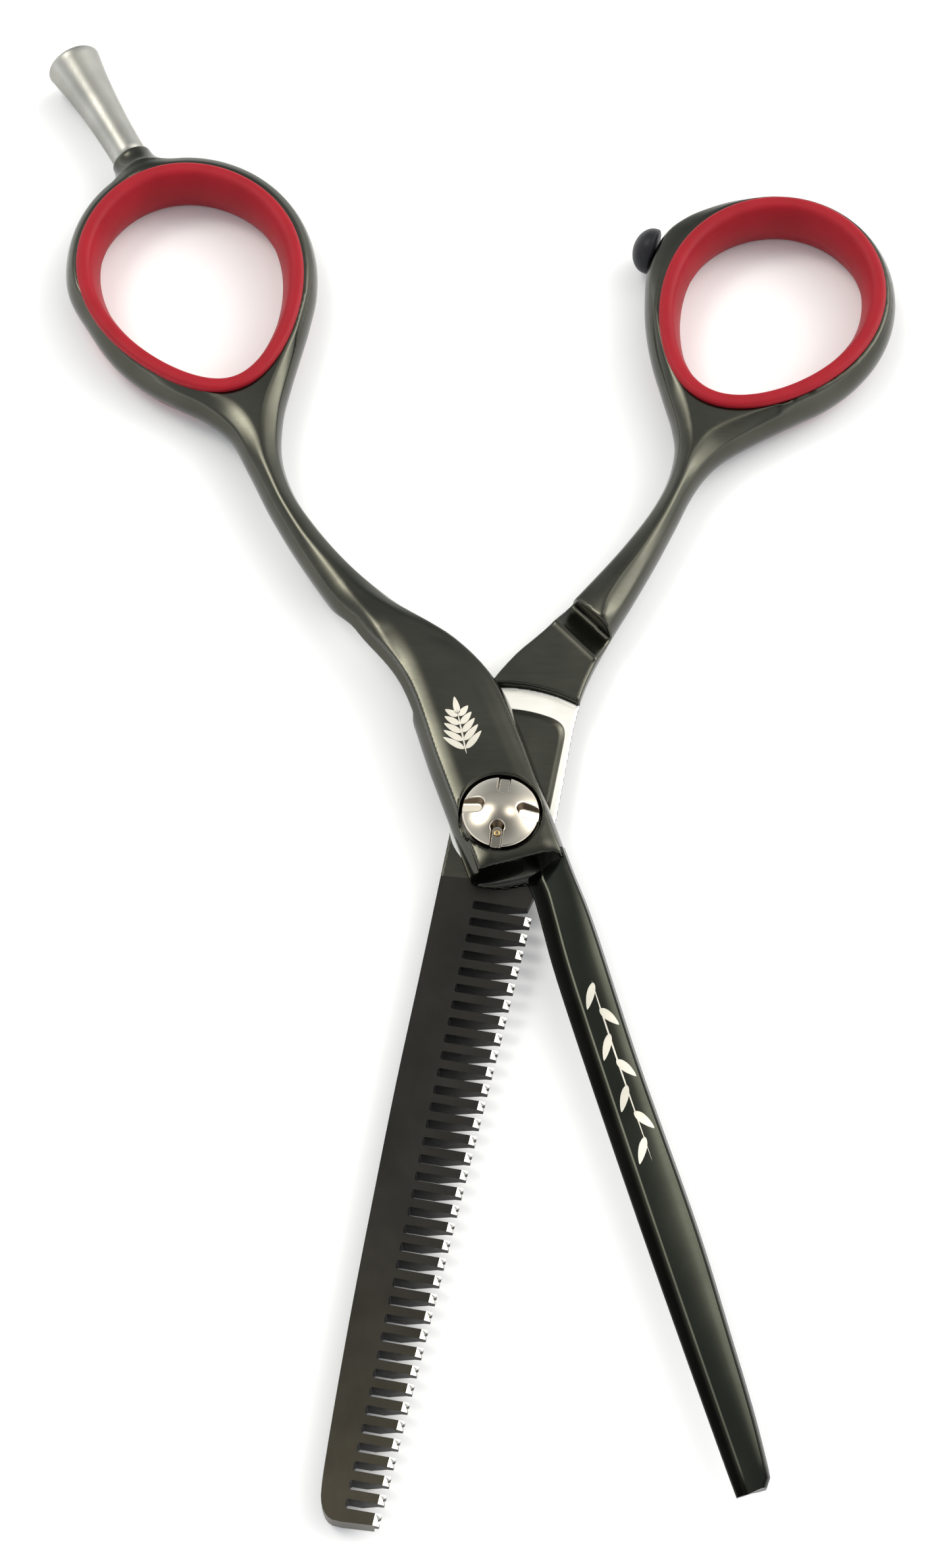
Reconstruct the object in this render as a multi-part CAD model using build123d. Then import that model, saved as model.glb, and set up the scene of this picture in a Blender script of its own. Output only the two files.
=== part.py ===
from build123d import *
import math
import os

# Thinning shears, six inches long, lying open on a flat surface.
# Origin: the pivot axis where it meets the resting plane.  +Z up through the
# dial, blades toward -Y, finger rings toward +Y.  All lengths in millimetres.

# Levels
RIDE_Z = 3.0            # plane in which the two halves ride on each other
RIDE_GAP = 0.05         # air between the two ground faces
HANDLE_LOW = 0.7        # underside of both handles
HANDLE_HIGH = 5.5       # top of both handles
HANDLE_BEVEL = 0.7
PLATEAU_TOP = 6.45      # flat top of the cutting half round the dial
PLATEAU_END_Y = 17.0    # the flat starts to slope down to the shank here ...
PLATEAU_FALL = 10.0     # ... and has reached it this much further on
COMB_LOW = 0.7          # underside of the comb blade at its root
BACK_DIAMETER = 19.0    # solid round the bolt head, down to the resting plane
HEEL_TOP = 4.2          # top of the heel below the flat
BLADE_TOP = 5.3         # top of the cutting blade at its spine
EDGE_HEIGHT = 0.15      # the ground face starts this far above the cutting edge
GRIND_ANGLE = 28.0      # slope of the ground face from the edge up to the spine

# Steps round the pivot that let the halves pass each other
RIDE_RADIUS = 15.0      # the ground ride face ends here
STEP_RISE = 0.9         # height of the raised step on the thinning half
STEP_RADIUS = 24.4      # the raised step ends here
SWEEP_GAP = 0.3         # clearance of the cutting half over that step

# Finger rings: an egg with centre, width, length, taper, waist and turn
FINGER_EGG = {"centre": (-30.7, 60.2), "width": 22.5, "length": 27.9,
              "taper": 0.14, "waist": -0.095, "turn": 19.4}
THUMB_EGG = {"centre": (27.0, 57.0), "width": 21.8, "length": 26.3,
             "taper": 0.12, "waist": -0.055, "turn": -32.0}
EGG_POINTS = 24
FINGER_WALL = (1.225, 0.225, 0.6)   # metal outside the lip: mean, share across, share along
THUMB_WALL = (1.2, 0.0, 0.0)
LIP_OVERLAP = 0.7       # lip of the insert over the metal
INSERT_WALL = 1.5       # rubber inside the metal
INSERT_HEIGHT = 6.2
INSERT_LOW = 0.0

# Comb blade
SLOT_COUNT = 35
SLOT_WIDTH = 0.85
SLOT_TURN = -10.0       # slots stand square to the spine
SLOT_START = (-2.6, -8.0)
SLOT_END = (-13.72, -65.4)
TIP_ROW_START = (3.05, -8.7)
TIP_ROW_END = (-10.6, -66.6)
TOOTH_TIP_THICKNESS = 1.1
COMB_GRIND_RISE = 1.0   # the grind under the comb rises this much ...
COMB_GRIND_RUN = 10.0   # ... over this width
NOTCH_WIDTH = 0.3
NOTCH_DEPTH = 0.3
NOTCH_OVERRUN = 0.2     # the notch is cut this far past the tooth's end

# Pivot
BOLT_HEAD_DIAMETER = 9.0
BOLT_HEAD_HEIGHT = 1.0
BOLT_DIAMETER = 4.6
BOLT_SHOULDER_Z = 5.7
BOLT_THREAD_DIAMETER = 3.0
BOLT_TOP = 6.95
FIT_GAP = 0.02          # push fit between pieces of one body
RUNNING_GAP = 0.05      # running fit of the bushing on the bolt
BUSHING_DIAMETER = 6.2
POCKET_DIAMETER = 7.8
POCKET_FLOOR = 5.0
WASHER_DIAMETER = 7.2
THRUST_THICKNESS = 0.25
SPRING_THICKNESS = 0.16
SPRING_HEIGHT = 0.24
CLICK_LOW = 5.75
CLICK_THICKNESS = 0.25
CLICK_TEETH = 24
CLICK_PIT_RADIUS = 0.16
CLICK_PIT_DEPTH = 0.1
RIDE_WASHER_DIAMETER = 9.6
RIDE_WASHER_RECESS = 0.25
RIDE_WASHER_PROUD = 0.02
BOLT_SLOT_WIDTH = 0.8
BOLT_SLOT_DEPTH = 0.4

# Dial
DIAL_DIAMETER = 7.34
DIAL_LOW = 6.06
DIAL_RIM = 6.52
DIAL_TOP = 7.5
NOTCH_COUNT = 4
KEY_NOTCH_WIDTH = 1.15
KEY_NOTCH_INNER = 1.9
KEY_NOTCH_FLOOR = 6.75
DIAL_TURN = -98.0
INDEX_RADIUS = 2.3
INDEX_DIAMETER = 0.7
INDEX_TOP = 6.7
INDEX_SPRING_HEIGHT = 0.25
INDEX_SPRING_OUTER = 0.6
INDEX_SPRING_INNER = 0.3

# Finger rest, on the far side of the finger ring
REST_BASE = (-37.9, 76.3)
REST_DIRECTION = (-0.476, 0.879)
REST_Z = 3.1
REST_LENGTH = 14.0
REST_BASE_DIAMETER = 3.65
REST_END_DIAMETER = 5.8
REST_WAIST_DIAMETER = 4.1
REST_WAIST_AT = 7.0
REST_CROWN = 0.6        # height of the domed end
BOSS_DIAMETER = 4.3
BOSS_LENGTH = 3.4
STUD_DIAMETER = 2.5
STUD_IN_REST = 4.0
STUD_IN_BOSS = 3.0

# Bumper, on the inner side of the thumb ring
BUMPER_BASE = (15.98, 64.95)
BUMPER_DIRECTION = (-0.947, 0.32)
BUMPER_DIAMETER = 4.7
BUMPER_HEIGHT = 2.3
BUMPER_RIM = 0.5
BUMPER_STEM_DIAMETER = 1.6
BUMPER_STEM_LENGTH = 1.7
BUMPER_BOSS = (19.0, 65.2)
BUMPER_BOSS_RADIUS = 3.3
BUMPER_BOSS_INSET = 0.4  # the boss stays this far inside the ring's faces
BUMPER_SEAT_DIAMETER = 5.1


def egg_point(egg, angle, grow):
    """One point of the egg outline, moved outward by grow."""
    a = math.radians(angle)
    half_w = egg["width"] / 2
    half_l = egg["length"] / 2
    swell = 1 + egg["taper"] * math.sin(a) + egg["waist"] * math.sin(a) ** 2
    swell_rate = egg["taper"] * math.cos(a) + 2 * egg["waist"] * math.sin(a) * math.cos(a)
    x = half_w * math.cos(a) * swell
    y = half_l * math.sin(a)
    dx = half_w * (-math.sin(a) * swell + math.cos(a) * swell_rate)
    dy = half_l * math.cos(a)
    run = math.hypot(dx, dy)
    x += grow * dy / run
    y -= grow * dx / run
    c = math.cos(math.radians(egg["turn"]))
    s = math.sin(math.radians(egg["turn"]))
    return (egg["centre"][0] + c * x - s * y, egg["centre"][1] + s * x + c * y)


def egg_face(egg, grow):
    points = [egg_point(egg, 360 * i / EGG_POINTS, grow) for i in range(EGG_POINTS)]
    return make_face(Spline(*points, periodic=True))


def ring_face(egg, wall):
    """Outline of a ring's metal, whose wall varies round the egg."""
    mean, across, along = wall
    points = []
    for i in range(EGG_POINTS):
        angle = 360 * i / EGG_POINTS
        grow = mean + across * math.cos(math.radians(angle)) + along * math.sin(math.radians(angle))
        points.append(egg_point(egg, angle, grow))
    return make_face(Spline(*points, periodic=True))


def slab(face, low, high):
    return Pos(0, 0, low) * extrude(face, high - low)


def disc(diameter, low, high):
    return Pos(0, 0, low) * extrude(Circle(diameter / 2), high - low)


def tube(outer, inner, low, high):
    return disc(outer, low, high) - disc(inner, low - 1, high + 1)


def crown_arc(radius, low, top):
    """Quarter profile of a spherical cap that ends on the axis."""
    height = top - low
    sphere = (radius ** 2 + height ** 2) / (2 * height)
    middle = (radius / 2, top - sphere + math.sqrt(sphere ** 2 - (radius / 2) ** 2))
    return ThreePointArc((radius, low), middle, (0, top))


def turned(edges):
    """A solid turned about Z from a closed profile drawn as (radius, height)."""
    return revolve(Rot(90, 0, 0) * make_face(edges), Axis.Z)


def axis_place(point, direction, z):
    """A place whose local Z runs along a level direction."""
    return Location(Plane(origin=(point[0], point[1], z), z_dir=(direction[0], direction[1], 0)))


def outline_face(left, right):
    """A face between a left edge and a right edge, both from low Y to high Y."""
    bottom = Line(left[0], right[0])
    top = Line(left[-1], right[-1])
    return make_face([Spline(*left), Spline(*right), bottom, top])


# ---- outlines -------------------------------------------------------------

def finger_shank_face():
    left = [(-8.5, 10.9), (-10.0, 15.3), (-13.2, 19.6), (-17.3, 25.2), (-20.2, 29.8),
            (-22.6, 34.4), (-24.9, 38.8), (-27.2, 42.6), (-29.7, 45.0), (-32.8, 47.0),
            (-36.3, 50.2)]
    right = [(1.7, 10.9), (-0.3, 15.3), (-3.8, 19.3), (-9.9, 23.7), (-14.0, 27.4),
             (-17.7, 31.9), (-20.2, 36.0), (-21.5, 40.3), (-21.5, 45.0), (-20.75, 48.9)]
    return outline_face(left, right)


def thumb_shank_face():
    left = [(-2.6, 10.9), (-1.2, 14.6), (1.3, 18.2), (4.9, 21.5), (9.7, 26.9),
            (13.3, 31.4), (15.8, 35.9), (17.2, 40.3), (16.9, 45.0), (15.3, 52.0)]
    right = [(7.2, 10.9), (8.3, 15.2), (10.4, 19.7), (13.0, 24.2), (15.5, 28.6),
             (17.6, 32.8), (19.0, 36.2), (21.2, 39.6), (26.6, 42.4), (33.0, 46.2)]
    return outline_face(left, right)


def plateau_face():
    """Flat round the pivot: straight sides and a slanted lower edge."""
    return make_face(Polyline((-8.5, 10.9), (-2.9, -5.3), (-2.2, -5.6), (4.2, -3.8), (6.4, -3.8),
                              (5.3, -0.2), (1.7, 10.9), close=True))


def heel_face():
    """Lower heel between the flat and the blade."""
    return make_face(Polyline((-4.0, -2.0), (-2.9, -5.4), (-0.5, -6.4), (2.4, -6.1), (7.1, -5.7),
                              (5.9, -2.0), close=True))


def cutting_blade_face():
    edge = Spline((2.4, -5.0), (3.15, -7.5), (3.75, -9.9), (5.0, -15.0), (12.0, -38.3), (20.5, -65.0))
    spine = Spline((23.6, -64.0), (22.3, -58.2), (17.8, -40.9), (12.6, -24.3), (8.4, -9.7), (6.9, -5.0))
    return make_face([edge, Line((20.5, -65.0), (23.6, -64.0)), spine, Line((6.9, -5.0), (2.4, -5.0))])


def comb_face():
    spine = Spline((-2.6, 10.9), (-5.0, -1.5), (-7.5, -14.9), (-11.6, -36.9),
                   (-15.4, -60.4), (-15.9, -65.0))
    end = Spline((-15.9, -65.0), (-15.2, -66.7), (-11.1, -67.4), TIP_ROW_END)
    root = Spline(TIP_ROW_START, (5.3, 0.9), (7.2, 10.9))
    tips = Line(TIP_ROW_END, TIP_ROW_START)
    return make_face([spine, end, tips, root, Line((7.2, 10.9), (-2.6, 10.9))])


# ---- cutting half ---------------------------------------------------------

def handle(shank_face, ring):
    """Shank and ring in one slab with bevelled edges, before any step is cut."""
    blank = slab(shank_face + ring, HANDLE_LOW, HANDLE_HIGH)
    rims = blank.faces().sort_by(Axis.Z)
    return chamfer(rims[0].edges() + rims[-1].edges(), HANDLE_BEVEL)


def ring_bore(egg):
    return slab(egg_face(egg, -LIP_OVERLAP), -1, HANDLE_HIGH + 1)


def insert_seats(egg):
    """Clears the metal above and below the lips of the insert."""
    lip_low = slab(egg_face(egg, 0), -1, HANDLE_LOW)
    lip_high = slab(egg_face(egg, 0), HANDLE_HIGH, HANDLE_HIGH + 1)
    return lip_low + lip_high


def rest_boss():
    boss = axis_place(REST_BASE, REST_DIRECTION, REST_Z) * Cylinder(
        BOSS_DIAMETER / 2, BOSS_LENGTH, align=(Align.CENTER, Align.CENTER, Align.MAX))
    return boss


def edge_grind():
    """Clears the metal above the slanted face that rises from the cutting edge to the spine."""
    start = Vector(3.75, -9.9, RIDE_Z + RIDE_GAP + EDGE_HEIGHT)
    end = Vector(20.5, -65.0, RIDE_Z + RIDE_GAP + EDGE_HEIGHT)
    place = Plane(origin=start, x_dir=(end - start).normalized(), z_dir=(0, 0, 1))
    cutter = Box(90, 6, 6, align=(Align.CENTER, Align.MAX, Align.MIN))
    return Location(place) * Pos(25, 0, 0) * Rot(GRIND_ANGLE - 90, 0, 0) * cutter


def plateau_slope():
    """The raised flat beyond the ricasso, sloping down to the shank's own thickness."""
    block = slab(finger_shank_face(), HANDLE_HIGH - HANDLE_BEVEL, PLATEAU_TOP)
    slope = math.degrees(math.atan2(PLATEAU_TOP - HANDLE_HIGH, PLATEAU_FALL))
    cutter = Box(90, 60, 6, align=(Align.CENTER, Align.MIN, Align.MIN))
    return block - Pos(0, PLATEAU_END_Y, PLATEAU_TOP) * Rot(-slope, 0, 0) * cutter


def cutting_half():
    blade = slab(cutting_blade_face(), RIDE_Z + RIDE_GAP, BLADE_TOP) - edge_grind()
    ricasso = slab(plateau_face(), RIDE_Z + RIDE_GAP, PLATEAU_TOP)
    ricasso = ricasso + slab(heel_face(), RIDE_Z + RIDE_GAP, HEEL_TOP)
    shank = handle(finger_shank_face(), ring_face(FINGER_EGG, FINGER_WALL))
    under_step = disc(2 * STEP_RADIUS + 1.2, -1, RIDE_Z + STEP_RISE + SWEEP_GAP)
    ride_disc = disc(2 * RIDE_RADIUS - 0.6, RIDE_Z + RIDE_GAP, RIDE_Z + STEP_RISE + SWEEP_GAP)
    shank_over = shank & ride_disc
    body = (shank - under_step) + shank_over + plateau_slope() + ricasso + blade + rest_boss()
    body = body - ring_bore(FINGER_EGG) - insert_seats(FINGER_EGG)
    body = body - disc(BUSHING_DIAMETER + 2 * FIT_GAP, 0, PLATEAU_TOP + 1)
    body = body - disc(POCKET_DIAMETER, POCKET_FLOOR, PLATEAU_TOP + 1)
    return body - finger_rest_stud(FIT_GAP)


# ---- thinning half --------------------------------------------------------

def slot_place(index):
    step = index / (SLOT_COUNT - 1)
    x = SLOT_START[0] + step * (SLOT_END[0] - SLOT_START[0])
    y = SLOT_START[1] + step * (SLOT_END[1] - SLOT_START[1])
    return Pos(x, y, 0) * Rot(0, 0, SLOT_TURN)


def comb_slots():
    cutter = Box(9, SLOT_WIDTH, 8, align=(Align.MIN, Align.CENTER, Align.CENTER))
    return [slot_place(index) * Pos(0, 0, RIDE_Z) * cutter for index in range(SLOT_COUNT)]


def comb_grind():
    """Slanted grind under the comb: thick at the spine, thin at the tooth tips."""
    slope = math.degrees(math.atan2(COMB_GRIND_RISE, COMB_GRIND_RUN))
    start = Vector(TIP_ROW_START[0], TIP_ROW_START[1], RIDE_Z - TOOTH_TIP_THICKNESS)
    along = (Vector(TIP_ROW_END[0], TIP_ROW_END[1], start.Z) - start).normalized()
    place = Plane(origin=start, x_dir=along, z_dir=(0, 0, 1))
    cutter = Box(62, 16, 6, align=(Align.MIN, Align.CENTER, Align.MAX))
    return Location(place) * Rot(slope, 0, 0) * cutter


def tooth_tip(index):
    """Where the middle of a tooth meets the line of the tips."""
    start = slot_place(index + 0.5).position
    turn = math.radians(SLOT_TURN)
    row_x = TIP_ROW_END[0] - TIP_ROW_START[0]
    row_y = TIP_ROW_END[1] - TIP_ROW_START[1]
    across = math.cos(turn) * row_y - math.sin(turn) * row_x
    reach = ((TIP_ROW_START[0] - start.X) * row_y - (TIP_ROW_START[1] - start.Y) * row_x) / across
    return slot_place(index + 0.5) * Pos(reach, 0, 0)


def tip_notches():
    """A small V in the end of each tooth, which holds the hair while it is cut."""
    mouth = [(NOTCH_OVERRUN, NOTCH_WIDTH), (NOTCH_OVERRUN, -NOTCH_WIDTH)]
    vee = make_face(Polyline((-NOTCH_DEPTH, 0), *mouth, close=True))
    cutter = slab(vee, 0, RIDE_Z + 1)
    return [tooth_tip(index) * cutter for index in range(SLOT_COUNT - 1)]


def bumper_seat():
    return axis_place(BUMPER_BASE, BUMPER_DIRECTION, RIDE_Z) * Cylinder(
        BUMPER_SEAT_DIAMETER / 2, BUMPER_HEIGHT + 1, align=(Align.CENTER, Align.CENTER, Align.MIN))


def bumper_boss():
    boss = disc(2 * BUMPER_BOSS_RADIUS, HANDLE_LOW + BUMPER_BOSS_INSET, HANDLE_HIGH - BUMPER_BOSS_INSET)
    return Pos(BUMPER_BOSS[0], BUMPER_BOSS[1], 0) * boss


def thinning_half():
    comb = slab(comb_face(), COMB_LOW, RIDE_Z) - comb_grind()
    boss = slab(comb_face(), 0, RIDE_Z) & disc(BACK_DIAMETER, -1, RIDE_Z)
    shank = handle(thumb_shank_face(), ring_face(THUMB_EGG, THUMB_WALL))
    over_step = disc(2 * STEP_RADIUS, RIDE_Z + STEP_RISE, 9)
    over_ride = disc(2 * RIDE_RADIUS, RIDE_Z, 9)
    body = comb + boss + (shank - over_step - over_ride)
    body = body + bumper_boss() - bumper_seat()
    body = body - ring_bore(THUMB_EGG) - insert_seats(THUMB_EGG)
    body = body - comb_slots() - tip_notches()
    body = body - disc(BOLT_DIAMETER + 2 * FIT_GAP, -1, 9)
    body = body - disc(BOLT_HEAD_DIAMETER + 2 * FIT_GAP, -1, BOLT_HEAD_HEIGHT)
    body = body - disc(RIDE_WASHER_DIAMETER + 2 * FIT_GAP, RIDE_Z - RIDE_WASHER_RECESS, 9)
    return body - bumper_stem(FIT_GAP)


# ---- rubber ---------------------------------------------------------------

def ring_insert(egg):
    sleeve = slab(egg_face(egg, -LIP_OVERLAP - FIT_GAP), INSERT_LOW, INSERT_LOW + INSERT_HEIGHT)
    lip_low = slab(egg_face(egg, 0), INSERT_LOW, HANDLE_LOW)
    lip_high = slab(egg_face(egg, 0), HANDLE_HIGH, INSERT_LOW + INSERT_HEIGHT)
    hole = slab(egg_face(egg, -LIP_OVERLAP - INSERT_WALL), -1, INSERT_HEIGHT + 1)
    return sleeve + lip_low + lip_high - hole


def bumper_stem(gap):
    stem = disc(BUMPER_STEM_DIAMETER + 2 * gap, -BUMPER_STEM_LENGTH - gap, 0)
    return axis_place(BUMPER_BASE, BUMPER_DIRECTION, RIDE_Z) * stem


def bumper():
    radius = BUMPER_DIAMETER / 2
    dome = turned([Line((0, 0), (radius, 0)), Line((radius, 0), (radius, BUMPER_RIM)),
                   crown_arc(radius, BUMPER_RIM, BUMPER_HEIGHT), Line((0, BUMPER_HEIGHT), (0, 0))])
    return axis_place(BUMPER_BASE, BUMPER_DIRECTION, RIDE_Z) * dome + bumper_stem(0)


# ---- finger rest ----------------------------------------------------------

def finger_rest_stud(gap):
    return axis_place(REST_BASE, REST_DIRECTION, REST_Z) * Pos(0, 0, -STUD_IN_BOSS - gap) * Cylinder(
        STUD_DIAMETER / 2 + gap, STUD_IN_BOSS + STUD_IN_REST + 2 * gap,
        align=(Align.CENTER, Align.CENTER, Align.MIN))


def finger_rest():
    flare = Spline((REST_BASE_DIAMETER / 2, 0), (REST_WAIST_DIAMETER / 2, REST_WAIST_AT),
                   (REST_END_DIAMETER / 2, REST_LENGTH - REST_CROWN))
    crown = crown_arc(REST_END_DIAMETER / 2, REST_LENGTH - REST_CROWN, REST_LENGTH)
    cone = turned([Line((0, 0), (REST_BASE_DIAMETER / 2, 0)), flare, crown,
                   Line((0, REST_LENGTH), (0, 0))])
    return axis_place(REST_BASE, REST_DIRECTION, REST_Z) * cone - finger_rest_stud(FIT_GAP)


# ---- pivot ----------------------------------------------------------------

def pivot_bolt():
    bolt = disc(BOLT_HEAD_DIAMETER, 0, BOLT_HEAD_HEIGHT) + disc(BOLT_DIAMETER, 0, BOLT_SHOULDER_Z)
    bolt = bolt + disc(BOLT_THREAD_DIAMETER, BOLT_SHOULDER_Z, BOLT_TOP)
    return bolt - Box(BOLT_HEAD_DIAMETER + 1, BOLT_SLOT_WIDTH, 2 * BOLT_SLOT_DEPTH)


def pivot_bushing():
    return tube(BUSHING_DIAMETER, BOLT_DIAMETER + 2 * RUNNING_GAP, RIDE_Z + RIDE_GAP, POCKET_FLOOR)


def ride_washer():
    return tube(RIDE_WASHER_DIAMETER, BOLT_DIAMETER + 2 * RUNNING_GAP,
                RIDE_Z - RIDE_WASHER_RECESS, RIDE_Z + RIDE_WASHER_PROUD)


def thrust_washer():
    return tube(WASHER_DIAMETER, BOLT_DIAMETER + 2 * RUNNING_GAP,
                POCKET_FLOOR, POCKET_FLOOR + THRUST_THICKNESS)


def disc_spring(low, cup_up):
    """A cupped washer, wide end down or up."""
    inner = BOLT_DIAMETER / 2 + RUNNING_GAP
    outer = WASHER_DIAMETER / 2
    rise = SPRING_HEIGHT - SPRING_THICKNESS
    inner_low = low + (0 if cup_up else rise)
    outer_low = low + (rise if cup_up else 0)
    return turned(Polyline((inner, inner_low), (outer, outer_low), (outer, outer_low + SPRING_THICKNESS),
                           (inner, inner_low + SPRING_THICKNESS), close=True))


def click_plate():
    top = CLICK_LOW + CLICK_THICKNESS
    plate = tube(WASHER_DIAMETER, BOLT_THREAD_DIAMETER + 2 * FIT_GAP, CLICK_LOW, top)
    pit = Pos(INDEX_RADIUS, 0, top) * Cylinder(CLICK_PIT_RADIUS, 2 * CLICK_PIT_DEPTH)
    pits = [Rot(0, 0, 360 * i / CLICK_TEETH) * pit for i in range(CLICK_TEETH)]
    return plate - pits


def dial_blank():
    radius = DIAL_DIAMETER / 2
    return turned([Line((0, DIAL_LOW), (radius, DIAL_LOW)), Line((radius, DIAL_LOW), (radius, DIAL_RIM)),
                   crown_arc(radius, DIAL_RIM, DIAL_TOP), Line((0, DIAL_TOP), (0, DIAL_LOW))])


def key_notch():
    length = DIAL_DIAMETER / 2 - KEY_NOTCH_INNER + 0.5
    channel = Pos(KEY_NOTCH_INNER, 0, KEY_NOTCH_FLOOR) * Box(
        length, KEY_NOTCH_WIDTH, 2, align=(Align.MIN, Align.CENTER, Align.MIN))
    end = Pos(KEY_NOTCH_INNER, 0, KEY_NOTCH_FLOOR) * Cylinder(
        KEY_NOTCH_WIDTH / 2, 2, align=(Align.CENTER, Align.CENTER, Align.MIN))
    return channel + end


def tension_dial():
    notches = [Rot(0, 0, DIAL_TURN + 90 * i) * key_notch() for i in range(NOTCH_COUNT)]
    bore = disc(BOLT_THREAD_DIAMETER + 2 * RUNNING_GAP, 0, BOLT_TOP + 0.05)
    index_hole = index_place() * disc(INDEX_DIAMETER + 2 * FIT_GAP, 0, DIAL_TOP + 1)
    return dial_blank() - notches - bore - index_hole


def index_place():
    return Rot(0, 0, DIAL_TURN) * Pos(INDEX_RADIUS, 0, 0)


def index_pin():
    return index_place() * disc(INDEX_DIAMETER, DIAL_LOW + INDEX_SPRING_HEIGHT, INDEX_TOP)


def index_spring():
    return index_place() * tube(INDEX_SPRING_OUTER, INDEX_SPRING_INNER, DIAL_LOW,
                                DIAL_LOW + INDEX_SPRING_HEIGHT)


def build():
    spring_low = POCKET_FLOOR + THRUST_THICKNESS
    return {
        "thinning_half": thinning_half(),
        "thumb_ring_insert": ring_insert(THUMB_EGG),
        "bumper": bumper(),
        "pivot_bolt": pivot_bolt(),
        "ride_washer": ride_washer(),
        "click_plate": click_plate(),
        "cutting_half": cutting_half(),
        "finger_ring_insert": ring_insert(FINGER_EGG),
        "finger_rest": finger_rest(),
        "finger_rest_stud": finger_rest_stud(0),
        "pivot_bushing": pivot_bushing(),
        "thrust_washer": thrust_washer(),
        "disc_spring_lower": disc_spring(spring_low, True),
        "disc_spring_upper": disc_spring(spring_low + SPRING_HEIGHT, False),
        "tension_dial": tension_dial(),
        "index_pin": index_pin(),
        "index_spring": index_spring(),
    }


os.makedirs("parts", exist_ok=True)
for name, solid in build().items():
    export_step(solid, os.path.join("parts", name + ".step"))
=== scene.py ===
import math

import bmesh
import bpy
import numpy as np
from mathutils import Matrix, Vector
from mathutils.kdtree import KDTree


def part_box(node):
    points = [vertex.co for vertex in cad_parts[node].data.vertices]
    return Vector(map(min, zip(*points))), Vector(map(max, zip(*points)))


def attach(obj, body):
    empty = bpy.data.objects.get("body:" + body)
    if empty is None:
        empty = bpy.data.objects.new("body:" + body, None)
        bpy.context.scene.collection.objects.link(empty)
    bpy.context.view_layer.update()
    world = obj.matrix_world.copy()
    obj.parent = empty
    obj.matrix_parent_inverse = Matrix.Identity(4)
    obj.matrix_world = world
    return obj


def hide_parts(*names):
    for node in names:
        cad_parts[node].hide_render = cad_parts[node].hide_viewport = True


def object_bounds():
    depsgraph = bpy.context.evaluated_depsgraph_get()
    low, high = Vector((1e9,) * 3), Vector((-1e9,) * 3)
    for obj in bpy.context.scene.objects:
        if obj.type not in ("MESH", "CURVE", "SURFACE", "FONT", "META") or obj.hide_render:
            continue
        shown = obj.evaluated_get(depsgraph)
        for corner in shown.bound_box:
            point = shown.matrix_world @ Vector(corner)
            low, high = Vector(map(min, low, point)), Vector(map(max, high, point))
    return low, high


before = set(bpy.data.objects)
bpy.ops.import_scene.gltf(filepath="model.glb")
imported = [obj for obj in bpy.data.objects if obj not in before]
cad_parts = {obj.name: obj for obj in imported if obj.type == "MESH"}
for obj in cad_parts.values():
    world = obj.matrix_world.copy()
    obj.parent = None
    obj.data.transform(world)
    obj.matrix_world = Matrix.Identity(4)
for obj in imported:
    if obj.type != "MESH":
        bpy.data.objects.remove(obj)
cad_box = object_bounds()

MM = 0.001              # outlines below are in millimetres, Blender's meshes in metres
CELL = 0.16

# ---- levels and places read from the frame --------------------------------


def low_mm(node):
    return np.array(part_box(node)[0]) / MM


def high_mm(node):
    return np.array(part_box(node)[1]) / MM


def middle_mm(node):
    return (low_mm(node) + high_mm(node)) / 2


BUSH_LOW = low_mm("pivot_bushing")[2]
RIDE_Z = round(BUSH_LOW, 1)
HANDLE_LOW = low_mm("cutting_half")[2]
PLATEAU_TOP = high_mm("cutting_half")[2]
INSERT_LOW = low_mm("finger_ring_insert")[2]
INSERT_HIGH = high_mm("finger_ring_insert")[2]
HANDLE_MID = (INSERT_LOW + INSERT_HIGH) / 2
HANDLE_HALF = HANDLE_MID - HANDLE_LOW
POCKET_FLOOR = low_mm("thrust_washer")[2]
DIAL_RADIUS = high_mm("tension_dial")[0]
DIAL_TOP = high_mm("tension_dial")[2]
DIAL_LOW = low_mm("tension_dial")[2]
BOLT_HEAD_RADIUS = high_mm("pivot_bolt")[0]
BUSH_RADIUS = high_mm("pivot_bushing")[0]
INDEX_RADIUS = float(np.linalg.norm(middle_mm("index_pin")[:2]))

# ---- shape of the two halves ----------------------------------------------

SIDE_HALF = 1.8         # half height of the bulging side of a handle
SIDE_BULGE = 0.45       # how far the middle of that side stands out
FACET_ROUNDING = 1.4    # above 1 the facets bulge
RIDE_RADIUS = 15.0      # the halves ride on each other inside this radius
STEP_RISE = 0.9
SWEEP_RADIUS = 24.8     # outside it the cutting half may reach down to the floor
UNDERCUT_RUN = 9.0
UNDER_RISE = 1.15       # how far the cutting half's underside clears the step outside the ride
SHANK_RADIUS = 30.0     # distance from the pivot where the plateau has faded into the shank
STEEP_SIDE = 1.15       # how much higher a side's bulge reaches beside the plateau
LIP_OVERLAP = 0.7

FINGER_EGG = {"centre": (-30.7, 60.2), "width": 22.5, "length": 27.9,
              "taper": 0.14, "waist": -0.095, "turn": 19.4}
THUMB_EGG = {"centre": (27.0, 57.0), "width": 21.8, "length": 26.3,
             "taper": 0.12, "waist": -0.055, "turn": -32.0}


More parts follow.
